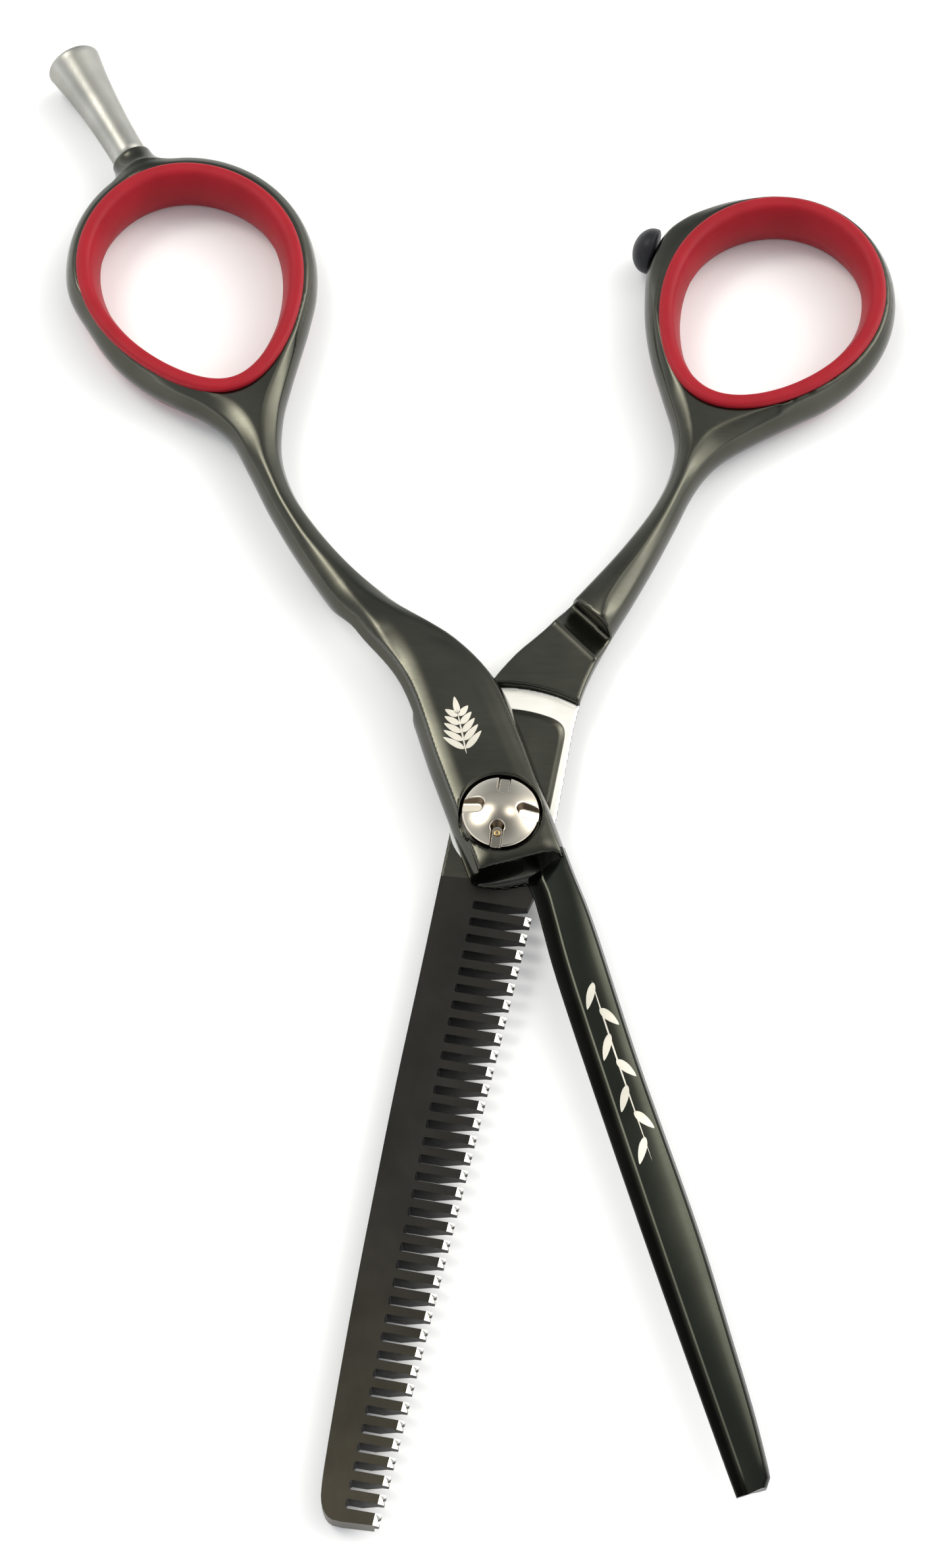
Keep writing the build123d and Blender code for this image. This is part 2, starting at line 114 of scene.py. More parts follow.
def egg_point(egg, angle, grow=0.0):
    """One point of an egg outline, moved outward by grow."""
    a = math.radians(angle)
    half_w = egg["width"] / 2
    half_l = egg["length"] / 2
    swell = 1 + egg["taper"] * math.sin(a) + egg["waist"] * math.sin(a) ** 2
    swell_rate = egg["taper"] * math.cos(a) + 2 * egg["waist"] * math.sin(a) * math.cos(a)
    x = half_w * math.cos(a) * swell
    y = half_l * math.sin(a)
    dx = half_w * (-math.sin(a) * swell + math.cos(a) * swell_rate)
    dy = half_l * math.cos(a)
    run = math.hypot(dx, dy)
    x += grow * dy / run
    y -= grow * dx / run
    c = math.cos(math.radians(egg["turn"]))
    s = math.sin(math.radians(egg["turn"]))
    return (egg["centre"][0] + c * x - s * y, egg["centre"][1] + s * x + c * y)


def egg_arc(egg, start, stop, count, grow, across=0.0, along=0.0):
    """Points round an egg, moved outward by grow, and by more across and along its axis."""
    points = []
    for i in range(count):
        angle = start + (stop - start) * i / (count - 1)
        a = math.radians(angle)
        points.append(egg_point(egg, angle, grow + across * math.cos(a) + along * math.sin(a)))
    return points


def smooth_line(points, closed, step):
    """Points along a centripetal Catmull-Rom curve, about step apart."""
    pts = np.array(points, float)
    n = len(pts)
    out = []
    spans = n if closed else n - 1
    for i in range(spans):
        if closed:
            p0, p1, p2, p3 = (pts[(i + k - 1) % n] for k in range(4))
        else:
            p1, p2 = pts[i], pts[i + 1]
            p0 = pts[i - 1] if i > 0 else 2 * p1 - p2
            p3 = pts[i + 2] if i + 2 < n else 2 * p2 - p1
        k1 = max(np.linalg.norm(p1 - p0), 1e-6) ** 0.5
        k2 = max(np.linalg.norm(p2 - p1), 1e-6) ** 0.5
        k3 = max(np.linalg.norm(p3 - p2), 1e-6) ** 0.5
        m1 = (p2 - p1) + k2 * ((p1 - p0) / k1 - (p2 - p0) / (k1 + k2))
        m2 = (p2 - p1) + k2 * ((p3 - p2) / k3 - (p3 - p1) / (k2 + k3))
        count = max(2, int(math.ceil(np.linalg.norm(p2 - p1) / step)))
        for t in np.arange(count) / count:
            h1 = 2 * t ** 3 - 3 * t ** 2 + 1
            h2 = t ** 3 - 2 * t ** 2 + t
            h3 = t ** 3 - t ** 2
            h4 = 3 * t ** 2 - 2 * t ** 3
            out.append(h1 * p1 + h2 * m1 + h3 * m2 + h4 * p2)
    if not closed:
        out.append(pts[-1])
    return np.array(out)


class Outline:
    """A closed outline that tells how far inside it a point lies."""

    def __init__(self, points, step=0.15):
        line = smooth_line(points, True, step)
        ahead = np.roll(line, -1, 0)
        area = 0.5 * np.sum(line[:, 0] * ahead[:, 1] - ahead[:, 0] * line[:, 1])
        self.line = line if area > 0 else line[::-1].copy()
        run = np.roll(self.line, -1, 0) - np.roll(self.line, 1, 0)
        run /= np.linalg.norm(run, axis=1)[:, None]
        self.outward = np.stack([run[:, 1], -run[:, 0]], 1)
        self.tree = KDTree(len(self.line))
        for i, p in enumerate(self.line):
            self.tree.insert((p[0], p[1], 0), i)
        self.tree.balance()

    def inside(self, x, y):
        """Distance inward from the outline, negative outside it."""
        shape = np.broadcast(x, y).shape
        px = np.broadcast_to(x, shape).ravel()
        py = np.broadcast_to(y, shape).ravel()
        find = self.tree.find
        near = np.fromiter((find((a, b, 0.0))[1] for a, b in zip(px, py)), int, len(px))
        p = np.stack([px, py], 1)
        best = np.full(len(p), 1e9)
        gap = np.zeros(len(p))
        count = len(self.line)
        for shift in (-1, 0):
            i = (near + shift) % count
            j = (i + 1) % count
            a = self.line[i]
            ab = self.line[j] - a
            t = np.clip(np.sum((p - a) * ab, 1) / np.maximum(np.sum(ab * ab, 1), 1e-12), 0, 1)
            off = p - (a + ab * t[:, None])
            dist = np.linalg.norm(off, axis=1)
            normal = self.outward[i] * (1 - t)[:, None] + self.outward[j] * t[:, None]
            side = np.where(np.sum(off * normal, 1) > 0, -dist, dist)
            closer = dist < best
            best = np.where(closer, dist, best)
            gap = np.where(closer, side, gap)
        return gap.reshape(shape)


def smooth_max(a, b, k):
    h = np.maximum(k - np.abs(a - b), 0) / k
    return np.maximum(a, b) + h * h * k * 0.25


def smooth_min(a, b, k):
    return -smooth_max(-a, -b, k)


def ramp(low, high, value):
    t = np.clip((value - low) / (high - low), 0, 1)
    return t * t * (3 - 2 * t)


# ---- meshes ---------------------------------------------------------------

def new_object(name, mesh):
    obj = bpy.data.objects.new(name, mesh)
    bpy.context.scene.collection.objects.link(obj)
    return obj


def surface_net(values, low, cell):
    """Vertices and quads of the surface where a sampled field is zero."""
    inside = values < 0
    size = np.array(values.shape) - 1
    corners = [(i, j, k) for i in (0, 1) for j in (0, 1) for k in (0, 1)]
    filled = np.zeros(size, np.int8)
    for corner in corners:
        filled += inside[tuple(slice(v, n + v) for v, n in zip(corner, size))]
    cells = np.argwhere((filled > 0) & (filled < 8))
    number = np.full(size, -1, int)
    number[tuple(cells.T)] = np.arange(len(cells))
    total = np.zeros((len(cells), 3))
    hits = np.zeros(len(cells))
    for a in corners:
        for axis in range(3):
            if a[axis] == 1:
                continue
            b = tuple(v + (1 if n == axis else 0) for n, v in enumerate(a))
            va = values[tuple((cells + a).T)]
            vb = values[tuple((cells + b).T)]
            crossing = (va < 0) != (vb < 0)
            t = np.where(crossing, va / np.where(crossing, va - vb, 1), 0)
            point = np.array(a, float) + np.outer(t, np.eye(3)[axis])
            total += point * crossing[:, None]
            hits += crossing
    points = low + (cells + total / hits[:, None]) * cell
    quads = []
    for axis in range(3):
        u, v = (axis + 1) % 3, (axis + 2) % 3
        first = [slice(None)] * 3
        second = [slice(None)] * 3
        first[axis] = slice(0, -1)
        second[axis] = slice(1, None)
        for s in (first, second):
            s[u] = slice(1, -1)
            s[v] = slice(1, -1)
        start = inside[tuple(first)]
        change = start != inside[tuple(second)]
        at = np.argwhere(change)
        forward = start[change]
        at[:, u] += 1
        at[:, v] += 1
        step_u = np.eye(3, dtype=int)[u]
        step_v = np.eye(3, dtype=int)[v]
        ring = [at - step_u - step_v, at - step_v, at, at - step_u]
        quad = np.stack([number[tuple(r.T)] for r in ring], 1)
        quad[~forward] = quad[~forward][:, ::-1]
        quads.append(quad)
    return points, np.concatenate(quads)


def slope(field, points, nudge=0.02):
    """Value and gradient of a field at points."""
    x, y, z = points.T
    here = field(x, y, z)
    grad = np.stack([field(x + nudge, y, z) - here, field(x, y + nudge, z) - here,
                     field(x, y, z + nudge) - here], 1) / nudge
    return here, grad


def solid_from_field(name, field, low, high, cell):
    """A smooth mesh of the solid where field(x, y, z) is negative, in millimetres."""
    low = np.array(low, float)
    count = np.ceil((np.array(high) - low) / cell).astype(int) + 1
    xs, ys, zs = (low[n] + cell * np.arange(count[n]) for n in range(3))
    grid_x, grid_y = np.meshgrid(xs, ys, indexing="ij")
    values = field(grid_x[:, :, None], grid_y[:, :, None], zs[None, None, :])
    points, quads = surface_net(values, low, cell)
    for _ in range(2):
        here, grad = slope(field, points)
        length = np.maximum(np.sum(grad * grad, 1), 0.05)
        move = grad * (here / length)[:, None]
        far = np.maximum(np.linalg.norm(move, axis=1) / (0.45 * cell), 1)
        points = points - move / far[:, None]
    grad = slope(field, points)[1]
    normals = grad / np.maximum(np.linalg.norm(grad, axis=1), 1e-6)[:, None]
    sides = np.concatenate([quads[:, (0, 1)], quads[:, (1, 2)], quads[:, (2, 3)], quads[:, (3, 0)]])
    for _ in range(2):
        blended = normals * 2
        np.add.at(blended, sides[:, 0], normals[sides[:, 1]])
        np.add.at(blended, sides[:, 1], normals[sides[:, 0]])
        normals = blended / np.maximum(np.linalg.norm(blended, axis=1), 1e-6)[:, None]
    mesh = bpy.data.meshes.new(name)
    mesh.from_pydata((points * MM).tolist(), [], quads.tolist())
    mesh.polygons.foreach_set("use_smooth", np.ones(len(mesh.polygons), bool))
    mesh.normals_split_custom_set_from_vertices(normals.tolist())
    return new_object(name, mesh)


def from_bmesh(name, bm):
    mesh = bpy.data.meshes.new(name)
    bm.to_mesh(mesh)
    bm.free()
    return new_object(name, mesh)


def skin(name, rings, closed_along=False, sharp=()):
    """A closed mesh through rings of equal point count. Lines named in sharp keep a hard edge."""
    rings = np.array(rings, float)
    count, width = rings.shape[:2]
    bm = bmesh.new()
    verts = [[bm.verts.new(Vector(p) * MM) for p in ring] for ring in rings]
    spans = count if closed_along else count - 1
    for i in range(spans):
        a, b = verts[i], verts[(i + 1) % count]
        for j in range(width):
            k = (j + 1) % width
            bm.faces.new((a[j], b[j], b[k], a[k]))
    if not closed_along:
        bm.faces.new(verts[0])
        bm.faces.new(verts[-1][::-1])
    for face in bm.faces:
        face.smooth = True
    bmesh.ops.recalc_face_normals(bm, faces=bm.faces)
    for j in sharp:
        for i in range(spans):
            edge = bm.edges.get((verts[i][j], verts[(i + 1) % count][j]))
            edge.smooth = False
    if not closed_along:
        for ring in (verts[0], verts[-1]):
            for j in range(width):
                bm.edges.get((ring[j], ring[(j + 1) % width])).smooth = False
    return from_bmesh(name, bm)


def lathe(name, profile, place, steps=96, sharp_turn=35):
    """A solid turned about the local Z of a place from (radius, height) points."""
    bm = bmesh.new()
    rings = []
    for radius, height in profile:
        if radius < 1e-6:
            rings.append([bm.verts.new((0, 0, height * MM))])
            continue
        rings.append([bm.verts.new((radius * MM * math.cos(2 * math.pi * i / steps),
                                    radius * MM * math.sin(2 * math.pi * i / steps), height * MM))
                      for i in range(steps)])
    for a, b in zip(rings, rings[1:]):
        for i in range(steps):
            j = (i + 1) % steps
            face = [a[i % len(a)], a[j % len(a)], b[j % len(b)], b[i % len(b)]]
            bm.faces.new(list(dict.fromkeys(face)))
    bmesh.ops.recalc_face_normals(bm, faces=bm.faces)
    for face in bm.faces:
        face.smooth = True
    for edge in bm.edges:
        edge.smooth = edge.calc_face_angle(0) < math.radians(sharp_turn)
    bm.transform(place)
    return from_bmesh(name, bm)


def level_place(point, direction, z):
    """A place whose local Z runs along a level direction."""
    z_axis = Vector((direction[0], direction[1], 0)).normalized()
    x_axis = Vector((0, 0, 1))
    y_axis = z_axis.cross(x_axis)
    turn = Matrix((x_axis, y_axis, z_axis)).transposed().to_4x4()
    return Matrix.Translation(Vector((point[0], point[1], z)) * MM) @ turn


# ---- handle section shared by both halves ---------------------------------

def handle_section(edge, crest, x, y, z, half_up, half_down, side_up=SIDE_HALF):
    """A bar with bulging sides and facets that rise from them to the flat or crest in its middle."""
    d = edge.inside(x, y)
    e = np.maximum(-crest.inside(x, y), 0)
    run = np.maximum(d - SIDE_BULGE, 0)
    share = run / np.maximum(run + e, 1e-3)
    share = 1 - (1 - share) ** FACET_ROUNDING
    up = z - HANDLE_MID
    side = SIDE_BULGE * np.minimum(np.abs(up) / SIDE_HALF, 1.3) ** 2 - d
    above = up - side_up - (half_up - side_up) * share
    below = -up - SIDE_HALF - (half_down - SIDE_HALF) * share
    return smooth_max(smooth_max(side, above * 0.9, 0.09), below * 0.9, 0.09)


def band(points, half=0.1):
    """Both sides of a narrow crest, out along one side and back along the other."""
    return [(x - half, y) for x, y in points], [(x + half, y) for x, y in reversed(points)]


# ---- cutting half ---------------------------------------------------------

CUTTING_LEFT = [(0.6, -17.0), (-0.9, -11.5), (-3.0, -5.2), (-6.5, 5.0), (-9.9, 14.8), (-13.75, 19.9),
                (-17.4, 25.15), (-20.3, 29.8), (-22.75, 34.3), (-24.85, 38.85), (-26.9, 42.8),
                (-29.5, 45.2), (-32.8, 47.0), (-36.3, 49.2), (-39.0, 51.8), (-41.5, 55.6)]
CUTTING_RIGHT = [(-20.75, 48.9), (-21.5, 45.0), (-21.5, 40.3), (-20.2, 36.0), (-17.7, 31.9),
                 (-14.0, 27.4), (-9.9, 23.7), (-3.8, 19.3), (-0.3, 15.3), (1.7, 10.9),
                 (5.3, -0.2), (8.35, -9.7), (10.5, -17.0)]
PLATEAU_LEFT = [(1.9, -16.0), (-0.8, -9.8), (-2.2, -5.4), (-3.65, -0.95), (-5.75, 5.3),
                (-7.75, 11.4), (-9.5, 16.2), (-12.0, 20.5), (-15.9, 26.3)]
CUTTING_CREST = [(-17.9, 29.2), (-19.4, 31.3), (-21.4, 34.9), (-22.4, 37.3), (-23.2, 39.5)]
FINGER_Y_LEFT = [(-24.0, 42.1), (-24.9, 44.0), (-26.2, 45.5), (-28.4, 46.7), (-31.6, 48.1)]
FINGER_Y_RIGHT = [(-19.9, 55.5), (-21.2, 52.0), (-22.4, 49.0), (-23.2, 46.7), (-23.6, 44.5),
                  (-23.55, 42.4)]
PLATEAU_RIGHT = [(-15.4, 26.5), (-13.6, 24.5), (-10.3, 21.8), (-6.9, 19.4), (-3.8, 17.5),
                 (-1.8, 15.4), (-0.4, 12.9), (2.2, 6.1), (4.6, 0.1), (5.7, -3.7), (9.4, -16.0)]
REST_BASE = (-37.9, 76.3)
REST_DIRECTION = (-0.476, 0.879)
BOSS_RADIUS = 2.15
BOSS_LENGTH = 4.5
FINGER_WALL = (1.225, 0.225, 0.6)   # metal round the ring: everywhere, more across, more along
THUMB_WALL = (1.2,)
RING_FLAT = 0.35                    # width of the flat round a ring insert

FINGER_BORE = Outline(egg_arc(FINGER_EGG, 0, 345, 24, -LIP_OVERLAP))
CUTTING_OUTLINE = Outline(CUTTING_LEFT + egg_arc(FINGER_EGG, 165, -32, 14, *FINGER_WALL)
                          + CUTTING_RIGHT)
CREST_OUT, CREST_BACK = band(CUTTING_CREST)
CUTTING_FLAT = Outline(PLATEAU_LEFT + CREST_OUT + FINGER_Y_LEFT
                       + egg_arc(FINGER_EGG, 215, -20, 14, RING_FLAT)
                       + FINGER_Y_RIGHT + CREST_BACK + PLATEAU_RIGHT)


def plateau_edge(x):
    """Y of the lower edge of the flat plateau."""
    return np.interp(x, [-3.0, -2.2, 4.2, 5.0, 8.0], [-5.45, -5.7, -3.9, -3.8, -4.0])


def heel_edge(x):
    """Y where the step below the plateau ends."""
    return np.interp(x, [-3.2, -2.8, -1.6, -0.4, 1.0, 2.4, 8.0],
                     [-5.6, -5.95, -6.4, -6.6, -6.5, -6.2, -5.7])


def plateau_crown(x, y, r):
    """How far the plateau drops toward its long sides and its lower edge."""
    sides = 0.25 * (1 - np.clip(CUTTING_FLAT.inside(x, y) / 1.7, 0, 1)) ** 2 * (1 - ramp(18, 26, r))
    return sides + 0.12 * (1 - np.clip((y - plateau_edge(x)) / 1.2, 0, 1)) ** 2


def rest_boss(x, y, z):
    """The round boss that the finger rest screws onto."""
    along = (x - REST_BASE[0]) * REST_DIRECTION[0] + (y - REST_BASE[1]) * REST_DIRECTION[1]
    across = (x - REST_BASE[0]) * REST_DIRECTION[1] - (y - REST_BASE[1]) * REST_DIRECTION[0]
    boss = smooth_max(np.hypot(across, z - HANDLE_MID) - BOSS_RADIUS, along, 0.25)
    return np.maximum(boss, -along - BOSS_LENGTH)


def underside(r):
    """Lowest height of the cutting half at a distance from the pivot."""
    rise = UNDER_RISE * ramp(RIDE_RADIUS - 1.5, RIDE_RADIUS - 0.6, r)
    fall = (POCKET_FLOOR - HANDLE_LOW) * ramp(SWEEP_RADIUS, SWEEP_RADIUS + UNDERCUT_RUN, r)
    return BUSH_LOW + rise - fall


def heel_top(x, y):
    """Height of the curved step from the heel up to the plateau, and well above it beyond."""
    low, high = BUSH_LOW + 0.1, PLATEAU_TOP + 0.05
    heel, edge = heel_edge(x), plateau_edge(x)
    rise = np.clip((y - heel) / np.maximum(edge - heel, 0.15), 0, 1)
    return low + (high - low) * rise ** 3.5 + 6 * (y > edge)


def cutting_field(x, y, z):
    r = np.hypot(x, y)
    half = HANDLE_HALF + (PLATEAU_TOP - HANDLE_MID - HANDLE_HALF) * (1 - ramp(22, SHANK_RADIUS, r))
    side_up = SIDE_HALF + STEEP_SIDE * (1 - ramp(19, SHANK_RADIUS, r))
    f = handle_section(CUTTING_OUTLINE, CUTTING_FLAT, x, y, z,
                       half - plateau_crown(x, y, r), HANDLE_HALF, side_up)
    f = smooth_min(f, rest_boss(x, y, z), 2.0)
    f = smooth_max(f, FINGER_BORE.inside(x, y), 0.2)
    f = smooth_max(f, underside(r) - z, 0.2)
    f = smooth_max(f, (z - heel_top(x, y)) * 0.5, 0.05)
    f = smooth_max(f, (heel_edge(x) - y) * 0.9, 0.15)
    f = smooth_max(f, -np.maximum(r - DIAL_RADIUS - 0.25, POCKET_FLOOR - z), 0.1)
    return np.maximum(f, BUSH_RADIUS - r)


CUTTING_EDGE = smooth_line([(2.9, -4.0), (2.5, -5.6), (3.1, -7.3), (3.75, -9.9), (5.0, -15.0),
                            (12.0, -38.4), (19.7, -62.6), (20.5, -65.0)], False, 0.5)
CUTTING_SPINE = smooth_line([(6.05, -2.9), (6.95, -5.6), (8.4, -9.7), (12.6, -24.3), (17.8, -40.9),
                             (20.4, -50.6), (22.35, -58.2), (23.6, -64.1)], False, 0.5)
BLADE_SHARP = (0, 2, 3, 10, 11, 12, 14, 15)     # section points where the surface has a hard edge
DARK_REFLECTION_FACES = (1, 10)                           # section sides painted near black, a painted dark reflection on the bevel and back facet
BEVEL_ROOT = 1.35
BEVEL_TIP = 1.0
BEVEL_RISE = 0.72       # share of the blade's height
GLINT = 0.16            # width of the bright strip between bevel and face
FACE_CROWN = 1.22
BLADE_TALL = 1.03
TIP_START = 0.97        # share of the length where the tip begins to round off


def along_line(line, share):
    """The point at a share of a line's length."""
    run = np.r_[0, np.cumsum(np.linalg.norm(np.diff(line, axis=0), axis=1))]
    return np.array([np.interp(share * run[-1], run, line[:, n]) for n in range(2)])


def blade_section(width, tall, bevel):
    """(across, up) points of the cutting blade: edge, bevel, convex face, spine and hollow back."""
    start, ridge = bevel + GLINT, width - 0.5
    points = [(0, 0), (0.1, 0.26), (bevel, BEVEL_RISE * tall)]
    face_low, face_high = BEVEL_RISE * tall + 0.05, 2.2 * tall
    for share in (0, 0.12, 0.25, 0.4, 0.55, 0.7, 0.85, 1):
        across = start + (ridge - start) * share
        points.append((across, face_low + (face_high - face_low) * (1 - (1 - share) ** FACE_CROWN)))
    points += [(width - 0.38, 2.08 * tall), (width - 0.28, 2.05 * tall),
               (width, 1.5 * tall), (width, 0.1)]
    points += [(width - 0.1, 0), (width - 0.7, 0), (width * 0.5, 0.2), (0.6, 0.03)]
    return points


def blade_station(share):
    """Edge point, direction to the spine and section points at a share of the blade's length."""
    edge = along_line(CUTTING_EDGE, share)
    spine = along_line(CUTTING_SPINE, share)
    width = np.linalg.norm(spine - edge)
    direction = (spine - edge) / width
    tall = BLADE_TALL - 0.3 * share
    if share > TIP_START:
        tip = (share - TIP_START) / (1 - TIP_START)
        tall *= 1 - 0.3 * tip ** 2
        width -= 0.5 * tip ** 6
    bevel = BEVEL_ROOT + (BEVEL_TIP - BEVEL_ROOT) * share ** 2
    return edge, direction, blade_section(width, tall, bevel)


def cutting_blade():
    rings = []
    stations = 90
    for i in range(stations):
        edge, direction, section = blade_station(i / (stations - 1))
        rings.append([(*(edge + direction * across), BUSH_LOW + up) for across, up in section])
    blade = skin("cutting_blade", rings, sharp=BLADE_SHARP)
    for face in blade.data.polygons[:(stations - 1) * len(rings[0])]:
        # the bevel and the back facet take the near-black material: a painted dark reflection
        if face.index % len(rings[0]) in DARK_REFLECTION_FACES:
            face.material_index = 1
    return blade


# ---- etched leaves, a plain ornament --------------------------------------

ETCH_PROUD = 0.018
ETCH_SUNK = 0.03
VINE_START = 0.215      # shares of the blade's length
VINE_END = 0.505
VINE_LEAVES = 7
SPRIG_FOOT = (-3.2, 6.1)
SPRIG_AXIS = math.radians(101)
SPRIG_LENGTH = 4.9


def leaf(length, width, turn, centre):
    """Outline of one slim leaf, turned about its centre."""
    points = []
    for i in range(24):
        a = 2 * math.pi * i / 24
        along = length / 2 * math.cos(a)
        across = width / 2 * math.sin(a) * (1 - 0.35 * math.cos(a)) * abs(math.sin(a)) ** 0.3
        points.append((centre[0] + along * math.cos(turn) - across * math.sin(turn),
                       centre[1] + along * math.sin(turn) + across * math.cos(turn)))
    return points


def vine_leaves():
    """Leaves along the blade, given as (distance along, distance across) from the vine's start."""
    leaves = []
    run = np.sum(np.linalg.norm(np.diff(CUTTING_EDGE, axis=0), axis=1)) * (VINE_END - VINE_START)
    for i in range(VINE_LEAVES):
        side = 1 if i % 2 else -1
        centre = (run * (i + 0.5) / VINE_LEAVES, 0.52 * side)
        leaves.append(leaf(2.5, 0.72, math.radians(28) * side, centre))
    leaves.append(leaf(run, 0.14, 0, (run / 2, 0.0)))
    return leaves, run


def vine_place(along, across, run):
    """Point on the blade's main face."""
    share = VINE_START + (VINE_END - VINE_START) * along / run
    edge, direction, section = blade_station(share)
    face = np.array(section[3:11])      # the eight points of the main face
    out = (face[0][0] + face[-1][0]) / 2 + across
    p = edge + direction * out
    return Vector((p[0], p[1], BUSH_LOW + np.interp(out, face[:, 0], face[:, 1])))


def sprig_leaves():
    """A small fern on the plateau, in the plane of the plateau."""
    leaves = []
    axis = np.array((math.cos(SPRIG_AXIS), math.sin(SPRIG_AXIS)))
    for i in range(5):
        share = 0.1 + 0.18 * i
        reach = 2.5 * (1 - 0.55 * share)
        for side in (-1, 1):
            turn = SPRIG_AXIS + math.radians(48) * side
            middle = np.array(SPRIG_FOOT) + axis * SPRIG_LENGTH * share
            middle = middle + np.array((math.cos(turn), math.sin(turn))) * (reach / 2 + 0.12)
            leaves.append(leaf(reach, 0.62, turn, middle))
    leaves.append(leaf(1.9, 0.6, SPRIG_AXIS, np.array(SPRIG_FOOT) + axis * (SPRIG_LENGTH + 0.35)))
    leaves.append(leaf(SPRIG_LENGTH, 0.16, SPRIG_AXIS, np.array(SPRIG_FOOT) + axis * SPRIG_LENGTH / 2))
    return leaves


def etched_leaves():
    bm = bmesh.new()

    def plate(outline, place):
        """A thin closed plate that stands just proud of the curved surface under it."""
        half = len(outline) // 2
        points = [place(x, y) for x, y in outline]
        pairs = [(outline[i], outline[-i]) for i in range(1, half)]
        spine = [place((a[0] + b[0]) / 2, (a[1] + b[1]) / 2) for a, b in pairs]
        top = [bm.verts.new((p + Vector((0, 0, ETCH_PROUD))) * MM) for p in points]
        ridge = [bm.verts.new((p + Vector((0, 0, ETCH_PROUD))) * MM) for p in spine]
        bottom = [bm.verts.new((p - Vector((0, 0, ETCH_SUNK))) * MM) for p in points]
        bm.faces.new((top[0], top[1], ridge[0], top[-1]))
        for i in range(1, half - 1):
            bm.faces.new((top[i], top[i + 1], ridge[i], ridge[i - 1]))
            bm.faces.new((top[-i], ridge[i - 1], ridge[i], top[-i - 1]))
        bm.faces.new((top[half - 1], top[half], top[half + 1], ridge[-1]))
        bm.faces.new(bottom[::-1])
        for i in range(len(points)):
            j = (i + 1) % len(points)
            bm.faces.new((top[i], bottom[i], bottom[j], top[j]))

    leaves, run = vine_leaves()
    for outline in leaves:
        plate(outline, lambda x, y: vine_place(x, y, run))
    for outline in sprig_leaves():
        plate(outline, lambda x, y: Vector((x, y, PLATEAU_TOP)))
    bmesh.ops.recalc_face_normals(bm, faces=bm.faces)
    return from_bmesh("etched_leaves", bm)


# ---- thinning half --------------------------------------------------------

THINNING_LEFT = [(17.2, 43.9), (17.4, 41.2), (16.6, 37.6), (14.9, 34.1), (11.9, 29.8), (8.2, 25.3),
                 (4.6, 21.2), (1.3, 18.0), (-1.2, 14.6), (-2.6, 10.9), (-5.0, -1.5), (-6.6, -10.0),
                 (-7.5, -15.0)]
THINNING_RIGHT = [(1.6, -15.0), (2.95, -10.0), (5.3, 0.9), (7.3, 11.6), (8.4, 15.2), (10.5, 19.6),
                  (13.0, 24.1), (15.4, 28.6), (17.5, 32.9), (18.95, 36.0), (20.5, 38.5),
                  (22.4, 40.5), (25.6, 42.6)]
BUMPER_SEAT = [(25.9, 70.75), (23.7, 70.35), (21.5, 69.6), (19.2, 68.5), (17.2, 66.9), (15.95, 64.9),
               (15.1, 62.5), (14.8, 59.4), (14.8, 55.8), (15.3, 51.8), (16.3, 47.6)]
THUMB_CREST = [(9.95, 21.7), (10.2, 23.1), (11.4, 25.5), (13.7, 28.8), (16.0, 32.7), (17.9, 36.8),
               (18.7, 39.2)]
THUMB_Y_LEFT = [(19.1, 41.5), (19.0, 43.5), (18.4, 46.7), (17.1, 49.8)]
THUMB_Y_RIGHT = [(32.6, 47.9), (30.4, 46.5), (27.8, 45.4), (25.0, 44.4), (22.5, 43.4), (20.6, 42.2),
                 (19.5, 40.6)]
BUMPER_BASE = (15.98, 64.95)
BUMPER_DIRECTION = (-0.947, 0.32)
SCOOP_POINT = (7.1, 19.8)
SCOOP_NORMAL = (0.731, 0.682)
SCOOP_WIDTH = 2.9
SCOOP_DEPTH = 0.7

THUMB_BORE = Outline(egg_arc(THUMB_EGG, 0, 345, 24, -LIP_OVERLAP))
THINNING_OUTLINE = Outline(THINNING_RIGHT + egg_arc(THUMB_EGG, -37, 118, 12, *THUMB_WALL)
                           + BUMPER_SEAT + THINNING_LEFT)
THUMB_OUT, THUMB_BACK = band(THUMB_CREST)
THINNING_FLAT = Outline(THUMB_OUT + THUMB_Y_LEFT + egg_arc(THUMB_EGG, 208, -45, 16, RING_FLAT)
                        + THUMB_Y_RIGHT + THUMB_BACK)
COMB_ROOT_Y = -6.8
HOLLOW_RADIUS = 12.7    # outside it the ride face is honed bare
HOLLOW_CORNER = 2.2     # how softly the hollow turns its upper corner
HONED_WIDTH = 0.75
RIDE_SIDE_X = 5.15      # the ride face's right side, where it passes the pivot
RIDE_SIDE_LEAN = 0.192
RIDE_SIDE_COS = 0.982
HOLLOW_DEPTH = 0.12
COMB_ROOT_LIFT = 0.9    # how far the underside rises toward the comb
HEAD_RECESS = 1.0       # depth of the bolt head's seat from below


def hollow_depth(x, y, r):
    """Distance inside the dark hollow between the honed edges of the ride face."""
    arc = HOLLOW_RADIUS - r
    side = (RIDE_SIDE_X + RIDE_SIDE_LEAN * y - x) * RIDE_SIDE_COS - HONED_WIDTH
    near = np.maximum(HOLLOW_CORNER - np.abs(arc - side), 0) / HOLLOW_CORNER
    return np.minimum(arc, side) - near ** 3 * HOLLOW_CORNER / 6


def scoop_floor(t):
    """Height of the thumb shank's groove across it, from the flat side to the wall."""
    flat = RIDE_Z + STEP_RISE
    lip = 0.1 * np.exp(-((t - 0.1) / 0.3) ** 2)
    return flat + lip - SCOOP_DEPTH * ramp(0.05, 2.6, t) ** 0.8


